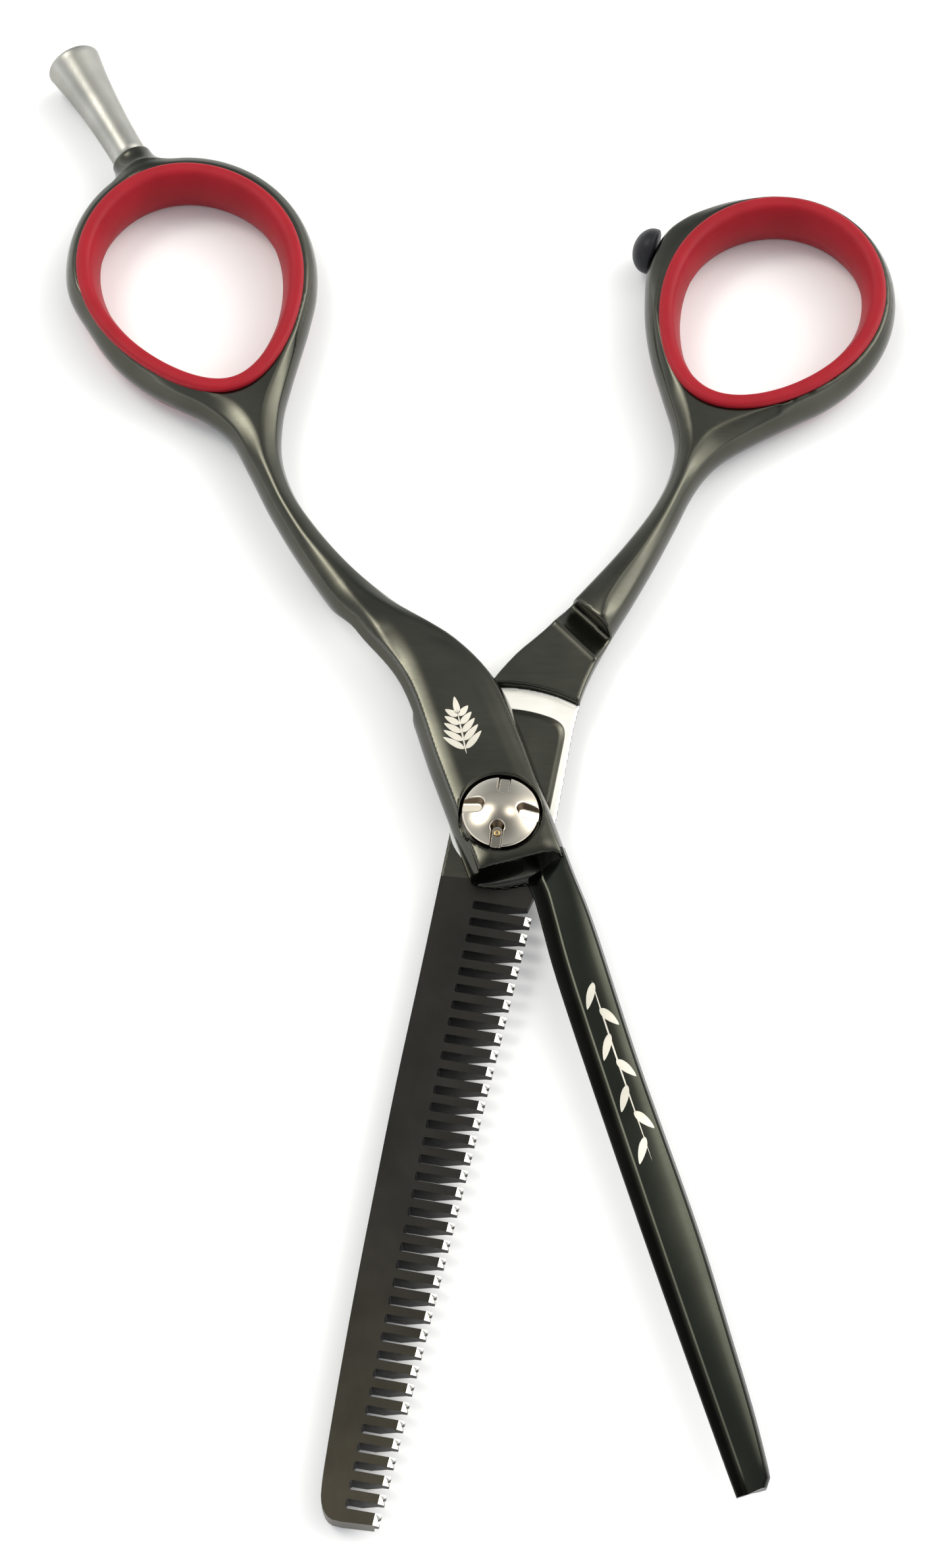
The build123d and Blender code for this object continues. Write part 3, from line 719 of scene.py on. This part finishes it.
def thinning_field(x, y, z):
    r = np.hypot(x, y)
    back = 1 - ramp(20, 29, r)
    f = handle_section(THINNING_OUTLINE, THINNING_FLAT, x, y, z,
                       HANDLE_HALF, HANDLE_HALF + HANDLE_LOW * back)
    f = smooth_max(f, THUMB_BORE.inside(x, y), 0.2)
    t = (x - SCOOP_POINT[0]) * SCOOP_NORMAL[0] + (y - SCOOP_POINT[1]) * SCOOP_NORMAL[1]
    f = smooth_max(f, -np.maximum(t - SCOOP_WIDTH, scoop_floor(t) - z), 0.12)
    hollow = ramp(0, 0.5, hollow_depth(x, y, r))
    top = RIDE_Z - HOLLOW_DEPTH * hollow - 0.03 * ramp(3.8, 5.2, -y)
    f = smooth_max(f, -np.maximum(r - RIDE_RADIUS, top - z), 0.06)
    f = smooth_max(f, COMB_ROOT_LIFT * ramp(1.5, 6.5, -y) - z, 0.2)
    f = np.maximum(f, COMB_ROOT_Y - y)
    return np.maximum(f, -np.maximum(r - BOLT_HEAD_RADIUS - 0.04, z - HEAD_RECESS))


# Comb: slots run square to the spine, from a line near the spine out to the row of tips
SLOT_COUNT = 35
SLOT_WIDTH = 0.85
SLOT_TURN = math.radians(-10.0)
SLOT_START = np.array((-2.6, -8.0))
SLOT_END = np.array((-13.72, -65.4))
TIP_ROW_START = np.array((3.05, -8.7))
TIP_ROW_END = np.array((-10.6, -66.6))
TIP_FLAT = 0.55
TIP_DROP = 0.16
TIP_NOTCH = 0.24
COMB_SPINE = [(-5.62, -5.0), (-7.5, -14.9), (-9.6, -25.7), (-11.6, -36.9), (-13.6, -48.6),
              (-15.4, -60.4), (-15.85, -64.0)]
COMB_END = [(-15.85, -65.3), (-15.5, -66.3), (-14.9, -66.85), (-13.2, -67.15), (-11.2, -67.4)]
SLOT_CORNER = 0.12      # bevel at the closed end of a slot
TOOTH_KNEE = 0.5        # share of a tooth's length where its underside starts to rise
TIP_THICK = 1.0
COMB_LOW = 0.75
ALONG_SLOT = np.array((math.cos(SLOT_TURN), math.sin(SLOT_TURN)))


def tip_reach(base):
    """Distance along a slot from base to the row of tips."""
    row = TIP_ROW_END - TIP_ROW_START
    gap = TIP_ROW_START - base
    return (gap[0] * row[1] - gap[1] * row[0]) / (ALONG_SLOT[0] * row[1] - ALONG_SLOT[1] * row[0])


def comb_blade():
    along = ALONG_SLOT
    down = np.array((math.sin(SLOT_TURN), -math.cos(SLOT_TURN)))
    bm = bmesh.new()

    def vert(p, z):
        return bm.verts.new((p[0] * MM, p[1] * MM, z * MM))

    def tooth(upper, lower):
        """Outline of one tooth end between two slot walls: flat start, tip corners, notch."""
        reach_u, reach_l = tip_reach(upper), tip_reach(lower)
        a0 = upper + along * (reach_u - TIP_FLAT)
        a1 = upper + along * reach_u
        b0 = lower + along * (reach_l - TIP_FLAT)
        b1 = lower + along * reach_l
        notch = (a1 + b1) / 2 - along * TIP_NOTCH
        n1 = a1 + (b1 - a1) * 0.28
        n2 = a1 + (b1 - a1) * 0.72
        return a0, a1, n1, notch, n2, b1, b0

    # outline points as (place, underside height); the teeth get a knee on both sides
    spine = smooth_line(COMB_SPINE + COMB_END, False, 1.2)
    outline = [(p, COMB_LOW + 0.25) for p in spine]
    starts = [SLOT_START + (SLOT_END - SLOT_START) * i / (SLOT_COUNT - 1) for i in range(SLOT_COUNT)]
    walls = [(s - down * SLOT_WIDTH / 2, s + down * SLOT_WIDTH / 2) for s in starts]
    last = walls[-1][1]
    ends = [(last, last + down * 1.1)]
    for i in range(SLOT_COUNT - 1, 0, -1):
        ends.append((walls[i - 1][1], walls[i][0]))
    ends.append((walls[0][0] - down * 2.6, walls[0][0]))
    thin = RIDE_Z - TIP_THICK
    tips = {}
    for number, (upper, lower) in enumerate(ends):
        a0, a1, n1, notch, n2, b1, b0 = tooth(upper, lower)
        if number:
            outline.append((lower + (b0 - lower) * TOOTH_KNEE, COMB_LOW))
        outline.append((b0, thin))
        if number == len(ends) - 1:
            outline.append((upper + along * tip_reach(upper), thin))
            continue
        tips[len(outline) - 1] = [b1, n2, notch, n1, a1]
        outline.append((a0, thin))
        outline.append((upper + (a0 - upper) * TOOTH_KNEE, COMB_LOW))
        wall = walls[SLOT_COUNT - 1 - number]
        outline += [(wall[1] + along * SLOT_CORNER, COMB_LOW), (wall[1] - down * SLOT_CORNER, COMB_LOW),
                    (wall[0] + down * SLOT_CORNER, COMB_LOW), (wall[0] + along * SLOT_CORNER, COMB_LOW)]
    top = [vert(p, RIDE_Z) for p, _ in outline]
    rim = []
    honed = []
    for i, (p, low) in enumerate(outline):
        rim.append((top[i], low))
        if i in tips:
            ring = [vert(q, RIDE_Z - TIP_DROP) for q in tips[i]]
            rim += [(v, thin + 0.1) for v in ring]
            honed.append([top[i]] + ring + [top[i + 1]])
    bottom = [vert((v.co.x / MM, v.co.y / MM), low) for v, low in rim]
    bm.faces.new(top)
    for face in honed:
        bm.faces.new(face).material_index = 1
    for i in range(len(rim)):
        j = (i + 1) % len(rim)
        side = bm.faces.new((rim[i][0], rim[j][0], bottom[j], bottom[i]))
        # slot walls take the third material, near black: painted shade in the slots over a rougher coat
        side.material_index = 2 if i >= len(spine) else 0
    bm.faces.new(bottom[::-1])
    bmesh.ops.recalc_face_normals(bm, faces=bm.faces)
    bmesh.ops.triangulate(bm, faces=[f for f in bm.faces if len(f.verts) > 4])
    return from_bmesh("comb_blade", bm)


# ---- rubber rings, rest, bumper, dial -------------------------------------

def insert_profile():
    """(outward from the lip, height) round the section of a rubber ring."""
    half = (INSERT_HIGH - INSERT_LOW) / 2
    upper = [(0.0, 2.28), (0.03, half - 0.35), (-0.06, half - 0.14), (-0.26, half - 0.02),
             (-0.6, half), (-0.95, half - 0.03), (-1.22, half - 0.14), (-1.4, half - 0.36),
             (-1.62, half - 0.9), (-1.87, half - 1.6), (-2.2, 0)]
    lower = [(o, -h) for o, h in upper[-2::-1]]
    seat = [(-0.45, -2.2), (-0.68, -2.0), (-0.68, 2.0), (-0.45, 2.2)]
    return upper + lower + seat


def ring_insert(name, egg):
    rings = []
    steps = 144
    for i in range(steps):
        angle = 360 * i / steps
        rings.append([(*egg_point(egg, angle, out), HANDLE_MID + up) for out, up in insert_profile()])
    return skin(name, rings, closed_along=True)


REST_LENGTH = 14.0


def finger_rest():
    """Turned steel rest: slim waist, flaring to a wide, slightly domed end."""
    flare = []
    for i in range(25):
        t = i / 24
        flare.append((1.82 + 0.1 * t + 0.95 * t ** 2.3, 0.25 + (REST_LENGTH - 0.85) * t))
    wide = flare[-1][0]
    crown = [(wide - 0.02, -0.42), (wide - 0.16, -0.24), (wide - 0.45, -0.12),
             (1.6, -0.03), (0.8, 0), (0, 0)]
    end = [(radius, REST_LENGTH + drop) for radius, drop in crown]
    profile = [(0, 0), (1.5, 0), (1.72, 0.06)] + flare + end
    return lathe("finger_rest_turned", profile, level_place(REST_BASE, REST_DIRECTION, HANDLE_MID))


def bumper():
    dome = [(2.35 * math.cos(a), 0.5 + 1.8 * math.sin(a)) for a in np.linspace(0, math.pi / 2, 16)[:-1]]
    profile = [(0, 0.02), (2.1, 0.02), (2.3, 0.12), (2.35, 0.3)] + dome + [(0, 2.3)]
    return lathe("bumper_dome", profile, level_place(BUMPER_BASE, BUMPER_DIRECTION, RIDE_Z))


DOME_RISE = 0.98
DOME_BALL = (DIAL_RADIUS ** 2 + DOME_RISE ** 2) / (2 * DOME_RISE)
NOTCH_FLOOR = DIAL_TOP - 0.75
DIAL_TURN = math.radians(-98.0)
NOTCH_INNER = 1.7
NOTCH_HALF = 0.5


def dial_field(x, y, z):
    dome = np.sqrt(x * x + y * y + (z - DIAL_TOP + DOME_BALL) ** 2) - DOME_BALL
    r = np.hypot(x, y)
    f = smooth_max(dome, r - DIAL_RADIUS, 0.22)
    f = np.maximum(f, DIAL_LOW - z)
    for quarter in range(4):
        angle = DIAL_TURN + quarter * math.pi / 2
        out = x * math.cos(angle) + y * math.sin(angle)
        side = -x * math.sin(angle) + y * math.cos(angle)
        back = np.minimum(out - NOTCH_INNER - NOTCH_HALF, 0)
        reach = np.hypot(back, side)
        facing = (back * math.sin(angle) + side * math.cos(angle)) / np.maximum(reach, 0.001)
        lean = 0.1 + 0.95 * np.clip(facing, 0, 1)
        floor = NOTCH_FLOOR - 0.3 * (out - NOTCH_INNER)
        cut = smooth_max(reach - NOTCH_HALF - lean * np.clip(z - floor, 0, 1), floor - z, 0.1)
        f = smooth_max(f, -cut, 0.07)
    return f


def dial():
    """The domed dial. The walls of its key notches take the second material, a dark brown painted
    shade.
    """
    obj = solid_from_field("dial_dome", dial_field, (-4.1, -4.1, DIAL_LOW - 0.3),
                           (4.1, 4.1, DIAL_TOP + 0.4), CELL / 3)
    middle = Vector((0, 0, DIAL_TOP - DOME_BALL)) * MM
    for face in obj.data.polygons:
        sunk = (face.center - middle).length < (DOME_BALL - 0.07) * MM
        if sunk and -0.5 < face.normal.z < 0.86:
            face.material_index = 1
    return obj


def index_pin():
    at = Matrix.Rotation(DIAL_TURN, 4, "Z") @ Matrix.Translation((INDEX_RADIUS * MM, 0, 0))
    top = NOTCH_FLOOR - 0.08
    profile = [(0, top - 0.12), (0.1, top - 0.12), (0.14, top), (0.24, top + 0.02), (0.31, top),
               (0.35, top - 0.08), (0.35, top - 0.4), (0, top - 0.4)]
    return lathe("index_pin_turned", profile, at, steps=32)


# ---- materials ------------------------------------------------------------

def add_node(tree, kind, *inputs, **settings):
    """A new node in a tree. Each input is a value, a socket to link, or None to leave it alone."""
    made = tree.nodes.new(kind)
    for key, value in settings.items():
        setattr(made, key, value)
    for socket, value in zip(made.inputs, inputs):
        if isinstance(value, bpy.types.NodeSocket):
            tree.links.new(value, socket)
        elif value is not None:
            socket.default_value = value
    return made


class Shader:
    """A Principled material, with helpers that add a node and give back its output."""

    def __init__(self, name, **sockets):
        self.material = bpy.data.materials.new(name)
        self.material.use_nodes = True
        self.tree = self.material.node_tree
        self.bsdf = self.tree.nodes["Principled BSDF"]
        for key, value in sockets.items():
            self.bsdf.inputs[key.replace("_", " ")].default_value = value

    def feed(self, source, name):
        """Link an output to a socket of the Principled node."""
        self.tree.links.new(source, self.bsdf.inputs[name])

    def place(self, scale=(1, 1, 1), turn=0.0):
        """Object position in millimetres, turned about Z and scaled."""
        where = add_node(self.tree, "ShaderNodeTexCoord").outputs["Object"]
        scale = [s / MM for s in scale]
        return add_node(self.tree, "ShaderNodeMapping", where, None, (0, 0, turn), scale).outputs[0]

    def noise(self, scale, turn=0.0, detail=4.0, roughness=0.5):
        place = self.place(scale, turn)
        made = add_node(self.tree, "ShaderNodeTexNoise", place, None, 1.0, detail, roughness)
        return made.outputs["Fac"]

    def tone(self, clouds, dark, light, low=0.3):
        """Colour that goes from dark to light with a noise."""
        made = add_node(self.tree, "ShaderNodeValToRGB", clouds)
        for stop, place, colour in zip(made.color_ramp.elements, (low, 1 - low), (dark, light)):
            stop.position = place
            stop.color = (*colour, 1)
        return made.outputs["Color"]

    def span(self, source, low, high, floor=0.0, ceiling=1.0):
        """A value carried from the range low to high into the range floor to ceiling."""
        made = add_node(self.tree, "ShaderNodeMapRange", source, low, high, floor, ceiling)
        return made.outputs["Result"]

    def calc(self, operation, *values):
        return add_node(self.tree, "ShaderNodeMath", *values, operation=operation).outputs[0]

    def mix(self, share, first, second):
        """Colour between two others. A mix node's colour inputs are its seventh and eighth."""
        unused = [None] * 5
        made = add_node(self.tree, "ShaderNodeMix", share, *unused, first, second, data_type="RGBA")
        return made.outputs[2]

    def bump(self, source, strength, distance):
        made = add_node(self.tree, "ShaderNodeBump")
        made.inputs["Strength"].default_value = strength
        made.inputs["Distance"].default_value = distance * MM
        self.tree.links.new(source, made.inputs["Height"])
        self.feed(made.outputs["Normal"], "Normal")


CLOUDS = (0.16, 0.16, 0.16)     # noise scales, per millimetre along each axis
GRAIN = (0.4, 6.0, 6.0)


def metal(name):
    """A metal from the list below, with a cloudy tone and fine grain."""
    dark, light, rough_low, rough_high, relief = METALS[name]
    s = Shader(name, Metallic=1.0)
    s.feed(s.tone(s.noise(CLOUDS), dark, light), "Base Color")
    lines = s.noise(GRAIN, detail=5.0, roughness=0.6)
    s.feed(s.span(lines, 0.25, 0.75, rough_low, rough_high), "Roughness")
    s.bump(lines, 0.35, relief)
    return s.material


COMB_DARK = (0.020, 0.0195, 0.018)
COMB_LIGHT = (0.030, 0.0285, 0.0255)
COAT_DARK = (0.051, 0.0515, 0.042)
COAT_LIGHT = (0.070, 0.0695, 0.0575)


# For each plain metal: dark tone, light tone, lowest and highest roughness, relief in millimetres
METALS = {
    "coated_steel_polished": (COAT_DARK, COAT_LIGHT, 0.12, 0.22, 0.002),
    # a darker copy of the polished coat: painted shade on the cutting blade's face
    "coated_steel_blade_painted_shade": ((0.0185, 0.0198, 0.0162), (0.025, 0.0268, 0.022), 0.12, 0.2, 0.002),
    # near black: a painted dark reflection on the blade's bevel and back facet
    "bevel_painted_dark_reflection": ((0.004, 0.004, 0.0035), (0.007, 0.007, 0.006), 0.10, 0.18, 0.002),
    # rough unground coat, darkened to near black as painted shade in the comb's slots
    "slot_walls_painted_shade": ((0.006, 0.006, 0.005), (0.011, 0.010, 0.009), 0.35, 0.5, 0.004),
    "etched_bare_steel": ((0.50, 0.48, 0.42), (0.66, 0.63, 0.56), 0.4, 0.55, 0.002),
    "honed_steel": ((0.66, 0.64, 0.58), (0.82, 0.80, 0.74), 0.16, 0.32, 0.003),
    "polished_nickel": ((0.44, 0.40, 0.335), (0.53, 0.485, 0.41), 0.02, 0.06, 0.0015),
    # dark brown: painted shade inside the dial's key notches
    "nickel_notches_painted_shade": ((0.07, 0.048, 0.030), (0.13, 0.095, 0.06), 0.2, 0.4, 0.002),
    "turned_brass": ((0.42, 0.30, 0.14), (0.55, 0.42, 0.22), 0.2, 0.35, 0.004),
    "plain_spring_steel": ((0.36, 0.36, 0.37), (0.48, 0.48, 0.49), 0.22, 0.38, 0.004),
    "sintered_bronze": ((0.36, 0.24, 0.12), (0.48, 0.33, 0.18), 0.35, 0.5, 0.004),
}


def comb_steel():
    """Ground coating, with a painted reflection that makes it paler and warmer toward the tip of the
    comb.
    """
    s = Shader("coated_steel_ground_painted_reflection", Metallic=1.0)
    clouds = s.noise(CLOUDS)
    upper = s.tone(clouds, COMB_DARK, COMB_LIGHT)
    # painted reflection: the paler, warmer tone toward the comb's tip
    lower = s.tone(clouds, (0.046, 0.041, 0.031), (0.066, 0.060, 0.046))
    split = add_node(s.tree, "ShaderNodeSeparateXYZ", s.place())
    share = s.span(split.outputs["Y"], -38.0, -66.0)
    s.feed(s.mix(share, upper, lower), "Base Color")
    lines = s.noise((9.0, 0.35, 9.0), SLOT_TURN, 5.0, 0.6)
    s.feed(s.span(lines, 0.25, 0.75, 0.28, 0.42), "Roughness")
    s.bump(lines, 0.35, 0.006)
    return s.material


def ride_steel():
    """Handle metal with the bare honed crescent and the dark hollow round the pivot."""
    s = Shader("ride_face_steel", Metallic=1.0)
    clouds = s.noise(CLOUDS)
    coat = s.tone(clouds, COAT_DARK, COAT_LIGHT)
    ground = s.tone(clouds, COMB_DARK, COMB_LIGHT)
    bare = s.tone(clouds, (0.78, 0.77, 0.71), (0.88, 0.86, 0.81))
    x, y, z = add_node(s.tree, "ShaderNodeSeparateXYZ", s.place()).outputs
    flat = add_node(s.tree, "ShaderNodeCombineXYZ", x, y).outputs[0]
    radius = add_node(s.tree, "ShaderNodeVectorMath", flat, operation="LENGTH").outputs["Value"]
    inward = (-RIDE_SIDE_COS, RIDE_SIDE_LEAN * RIDE_SIDE_COS, 0)
    side = add_node(s.tree, "ShaderNodeVectorMath", flat, inward, operation="DOT_PRODUCT")
    across = s.calc("ADD", side.outputs["Value"], RIDE_SIDE_X * RIDE_SIDE_COS - HONED_WIDTH)
    arc = s.calc("SUBTRACT", HOLLOW_RADIUS, radius)
    mask = s.span(s.calc("SMOOTH_MIN", arc, across, HOLLOW_CORNER), 0.04, -0.04)
    for limit in (s.span(z, RIDE_Z + 0.06, RIDE_Z + 0.02), s.span(z, RIDE_Z - 0.055, RIDE_Z - 0.038),
                  s.span(radius, RIDE_RADIUS + 0.05, RIDE_RADIUS - 0.02)):
        mask = s.calc("MULTIPLY", mask, limit)
    body = s.mix(s.span(y, -5.0, -6.5), coat, ground)
    s.feed(s.mix(mask, body, bare), "Base Color")
    lines = s.noise(GRAIN, detail=5.0, roughness=0.6)
    rough = s.calc("ADD", s.span(lines, 0.25, 0.75, 0.14, 0.26), s.span(y, -5.0, -6.5, 0.0, 0.15))
    s.feed(s.calc("MULTIPLY_ADD", mask, 0.12, rough), "Roughness")
    s.bump(lines, 0.3, 0.002)
    return s.material


def satin_steel():
    s = Shader("turned_satin_steel", Metallic=1.0)
    clouds = s.noise((0.2, 0.2, 0.2), detail=3.0)
    s.feed(s.tone(clouds, (0.26, 0.26, 0.24), (0.35, 0.345, 0.32)), "Base Color")
    turn = -math.atan2(REST_DIRECTION[1], REST_DIRECTION[0])
    rings = s.noise((9.0, 0.2, 0.2), turn, 4.0, 0.7)
    s.feed(s.span(rings, 0.25, 0.75, 0.30, 0.46), "Roughness")
    s.bump(rings, 0.5, 0.01)
    return s.material


def rubber(name, dark, light, rough, sheen, tint):
    s = Shader(name, Metallic=0.0, Sheen_Weight=sheen, Sheen_Roughness=0.4, Sheen_Tint=(*tint, 1),
               Specular_IOR_Level=0.2)
    s.feed(s.tone(s.noise((0.25, 0.25, 0.25)), dark, light, 0.25), "Base Color")
    grain = s.noise((14.0, 14.0, 14.0), detail=2.0)
    s.feed(s.span(grain, 0.3, 0.7, rough - 0.06, rough + 0.08), "Roughness")
    s.bump(grain, 0.25, 0.02)
    return s.material


# ---- stage ----------------------------------------------------------------

CAMERA_TILT = math.radians(26)
CAMERA_DISTANCE = 373.9
CAMERA_LENS = 90.08
CAMERA_AIM = (-2.35, 4.6, RIDE_Z)


def camera():
    data = bpy.data.cameras.new("camera")
    data.sensor_fit = "VERTICAL"
    data.sensor_height = 36
    data.sensor_width = 36
    data.lens = CAMERA_LENS
    data.clip_start = 0.01
    obj = new_object("camera", data)
    away = Vector((0, -math.sin(CAMERA_TILT), math.cos(CAMERA_TILT)))
    obj.location = (Vector(CAMERA_AIM) + away * CAMERA_DISTANCE) * MM
    obj.rotation_euler = (CAMERA_TILT, 0, 0)
    bpy.context.scene.camera = obj


# Brightness of the walls from the floor (0) to straight up (1)
WALL_LEVELS = [(0.0, 2.35), (1.0, 0.35), (0.35, 1.4), (0.6, 0.92), (0.86, 0.85), (0.93, 0.6)]
# Direction, sharpness, strength and colour; a negative colour takes light away
SOFT_SOURCES = [((-0.47, 0.26, 0.84), 70, 11.0, (1.0, 0.96, 0.87)),
                ((-0.26, 0.40, 0.88), 150, 3.0, (1.0, 0.96, 0.87)),
                ((0.233, 0.337, 0.914), 150, 3.0, (1.0, 0.96, 0.87)),
                ((0.74, 0.27, 0.61), 20, 6.8, (1.0, 0.97, 0.90)),
                ((0.1, -0.96, 0.25), 9, 1.2, (-1.0, -1.0, -0.97)),
                ((0.0, 0.99, 0.1), 7, 1.0, (-1.0, -1.0, -1.0))]


def studio():
    """Soft studio light: pale walls, a dim ceiling, four soft sources and two dark patches."""
    world = bpy.data.worlds.new("studio")
    bpy.context.scene.world = world
    world.use_nodes = True
    tree = world.node_tree
    where = add_node(tree, "ShaderNodeTexCoord").outputs["Generated"]
    split = add_node(tree, "ShaderNodeSeparateXYZ", where)
    walls = add_node(tree, "ShaderNodeValToRGB", split.outputs["Z"])
    stops = walls.color_ramp.elements
    for index, (place, level) in enumerate(WALL_LEVELS):
        stop = stops[index] if index < 2 else stops.new(place)
        stop.position = place
        stop.color = (level * 0.96, level * 0.985, level, 1)
    total = walls.outputs["Color"]
    for aim, sharpness, strength, colour in SOFT_SOURCES:
        aim = Vector(aim).normalized()
        dot = add_node(tree, "ShaderNodeVectorMath", where, aim, operation="DOT_PRODUCT")
        fall = add_node(tree, "ShaderNodeMath", dot.outputs["Value"], sharpness,
                        math.log(strength) - sharpness, operation="MULTIPLY_ADD")
        glow = add_node(tree, "ShaderNodeMath", fall.outputs[0], operation="EXPONENT")
        tint = add_node(tree, "ShaderNodeVectorMath", colour, operation="SCALE")
        tree.links.new(glow.outputs[0], tint.inputs["Scale"])
        added = add_node(tree, "ShaderNodeVectorMath", total, tint.outputs[0], operation="ADD")
        total = added.outputs[0]
    lowest = add_node(tree, "ShaderNodeVectorMath", total, (0.02, 0.02, 0.02), operation="MAXIMUM")
    tree.links.new(lowest.outputs[0], tree.nodes["Background"].inputs["Color"])


def stage():
    mesh = bpy.data.meshes.new("floor")
    side = 3.0
    corners = [(-side, -side, 0), (side, -side, 0), (side, side, 0), (-side, side, 0)]
    mesh.from_pydata(corners, [], [(0, 1, 2, 3)])
    floor = new_object("floor", mesh)
    floor.location.z = cad_box[0].z - 0.00002
    white = Shader("floor_white", Base_Color=(0.95, 0.95, 0.96, 1), Roughness=0.75,
                   Specular_IOR_Level=0.1)
    mesh.materials.append(white.material)
    studio()
    bpy.context.scene.view_settings.view_transform = "Standard"


# ---- assembly -------------------------------------------------------------

def finish_piece(obj, body, slot, materials, *nodes):
    for material in materials:
        obj.data.materials.append(material)
    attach(obj, body)
    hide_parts(*nodes)


def build_pieces():
    red = rubber("red_rubber_soft", (0.25, 0.004, 0.010), (0.31, 0.006, 0.015),
                 0.5, 0.03, (1.0, 0.4, 0.45))
    black = rubber("black_rubber_soft", (0.007, 0.007, 0.009), (0.013, 0.013, 0.016),
                   0.4, 0.05, (0.7, 0.75, 0.9))
    nickel = metal("polished_nickel")
    brass = metal("turned_brass")
    low, high = low_mm("cutting_half"), high_mm("cutting_half")
    body = solid_from_field("cutting_body", cutting_field, (low[0] - 1, -8, low[2] - 0.6),
                            (8.4, high[1] + 1, high[2] + 0.6), CELL)
    finish_piece(body, "cutting_side", "coated_steel", [metal("coated_steel_polished")], "cutting_half")
    blade_looks = [metal("coated_steel_blade_painted_shade"), metal("bevel_painted_dark_reflection")]
    finish_piece(cutting_blade(), "cutting_side", "coated_steel", blade_looks, "cutting_half")
    etched = metal("etched_bare_steel")
    finish_piece(etched_leaves(), "cutting_side", "coated_steel", [etched], "cutting_half")
    high = high_mm("thinning_half")
    body = solid_from_field("thinning_body", thinning_field, (-7.5, -8, -0.7),
                            (high[0] + 1, high[1] + 1, high[2] + 0.6), CELL)
    finish_piece(body, "thinning_side", "coated_steel", [ride_steel()], "thinning_half")
    comb_looks = [comb_steel(), metal("honed_steel"), metal("slot_walls_painted_shade")]
    finish_piece(comb_blade(), "thinning_side", "coated_steel", comb_looks, "thinning_half")
    insert = ring_insert("finger_ring_lining", FINGER_EGG)
    finish_piece(insert, "cutting_side", "red_rubber", [red], "finger_ring_insert")
    insert = ring_insert("thumb_ring_lining", THUMB_EGG)
    finish_piece(insert, "thinning_side", "red_rubber", [red], "thumb_ring_insert")
    finish_piece(finger_rest(), "cutting_side", "satin_steel", [satin_steel()], "finger_rest")
    finish_piece(bumper(), "thinning_side", "black_rubber", [black], "bumper")
    dial_looks = [nickel, metal("nickel_notches_painted_shade")]
    finish_piece(dial(), "dial", "nickel", dial_looks, "tension_dial")
    finish_piece(index_pin(), "dial", "brass", [brass], "index_pin")
    return nickel


def dress_cad_nodes(nickel):
    """Materials for the CAD nodes that stay as they are."""
    plain = metal("plain_spring_steel")
    bronze = metal("sintered_bronze")
    plastic = rubber("white_plastic", (0.76, 0.76, 0.74), (0.84, 0.84, 0.82), 0.5, 0.0, (1, 1, 1))
    choice = {"pivot_bolt": nickel, "ride_washer": plastic, "pivot_bushing": bronze}
    for name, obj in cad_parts.items():
        material = choice.get(name, plain)
        if not obj.data.materials:
            obj.data.materials.append(material)
        for slot in obj.material_slots:
            slot.material = material


camera()
stage()
dress_cad_nodes(build_pieces())
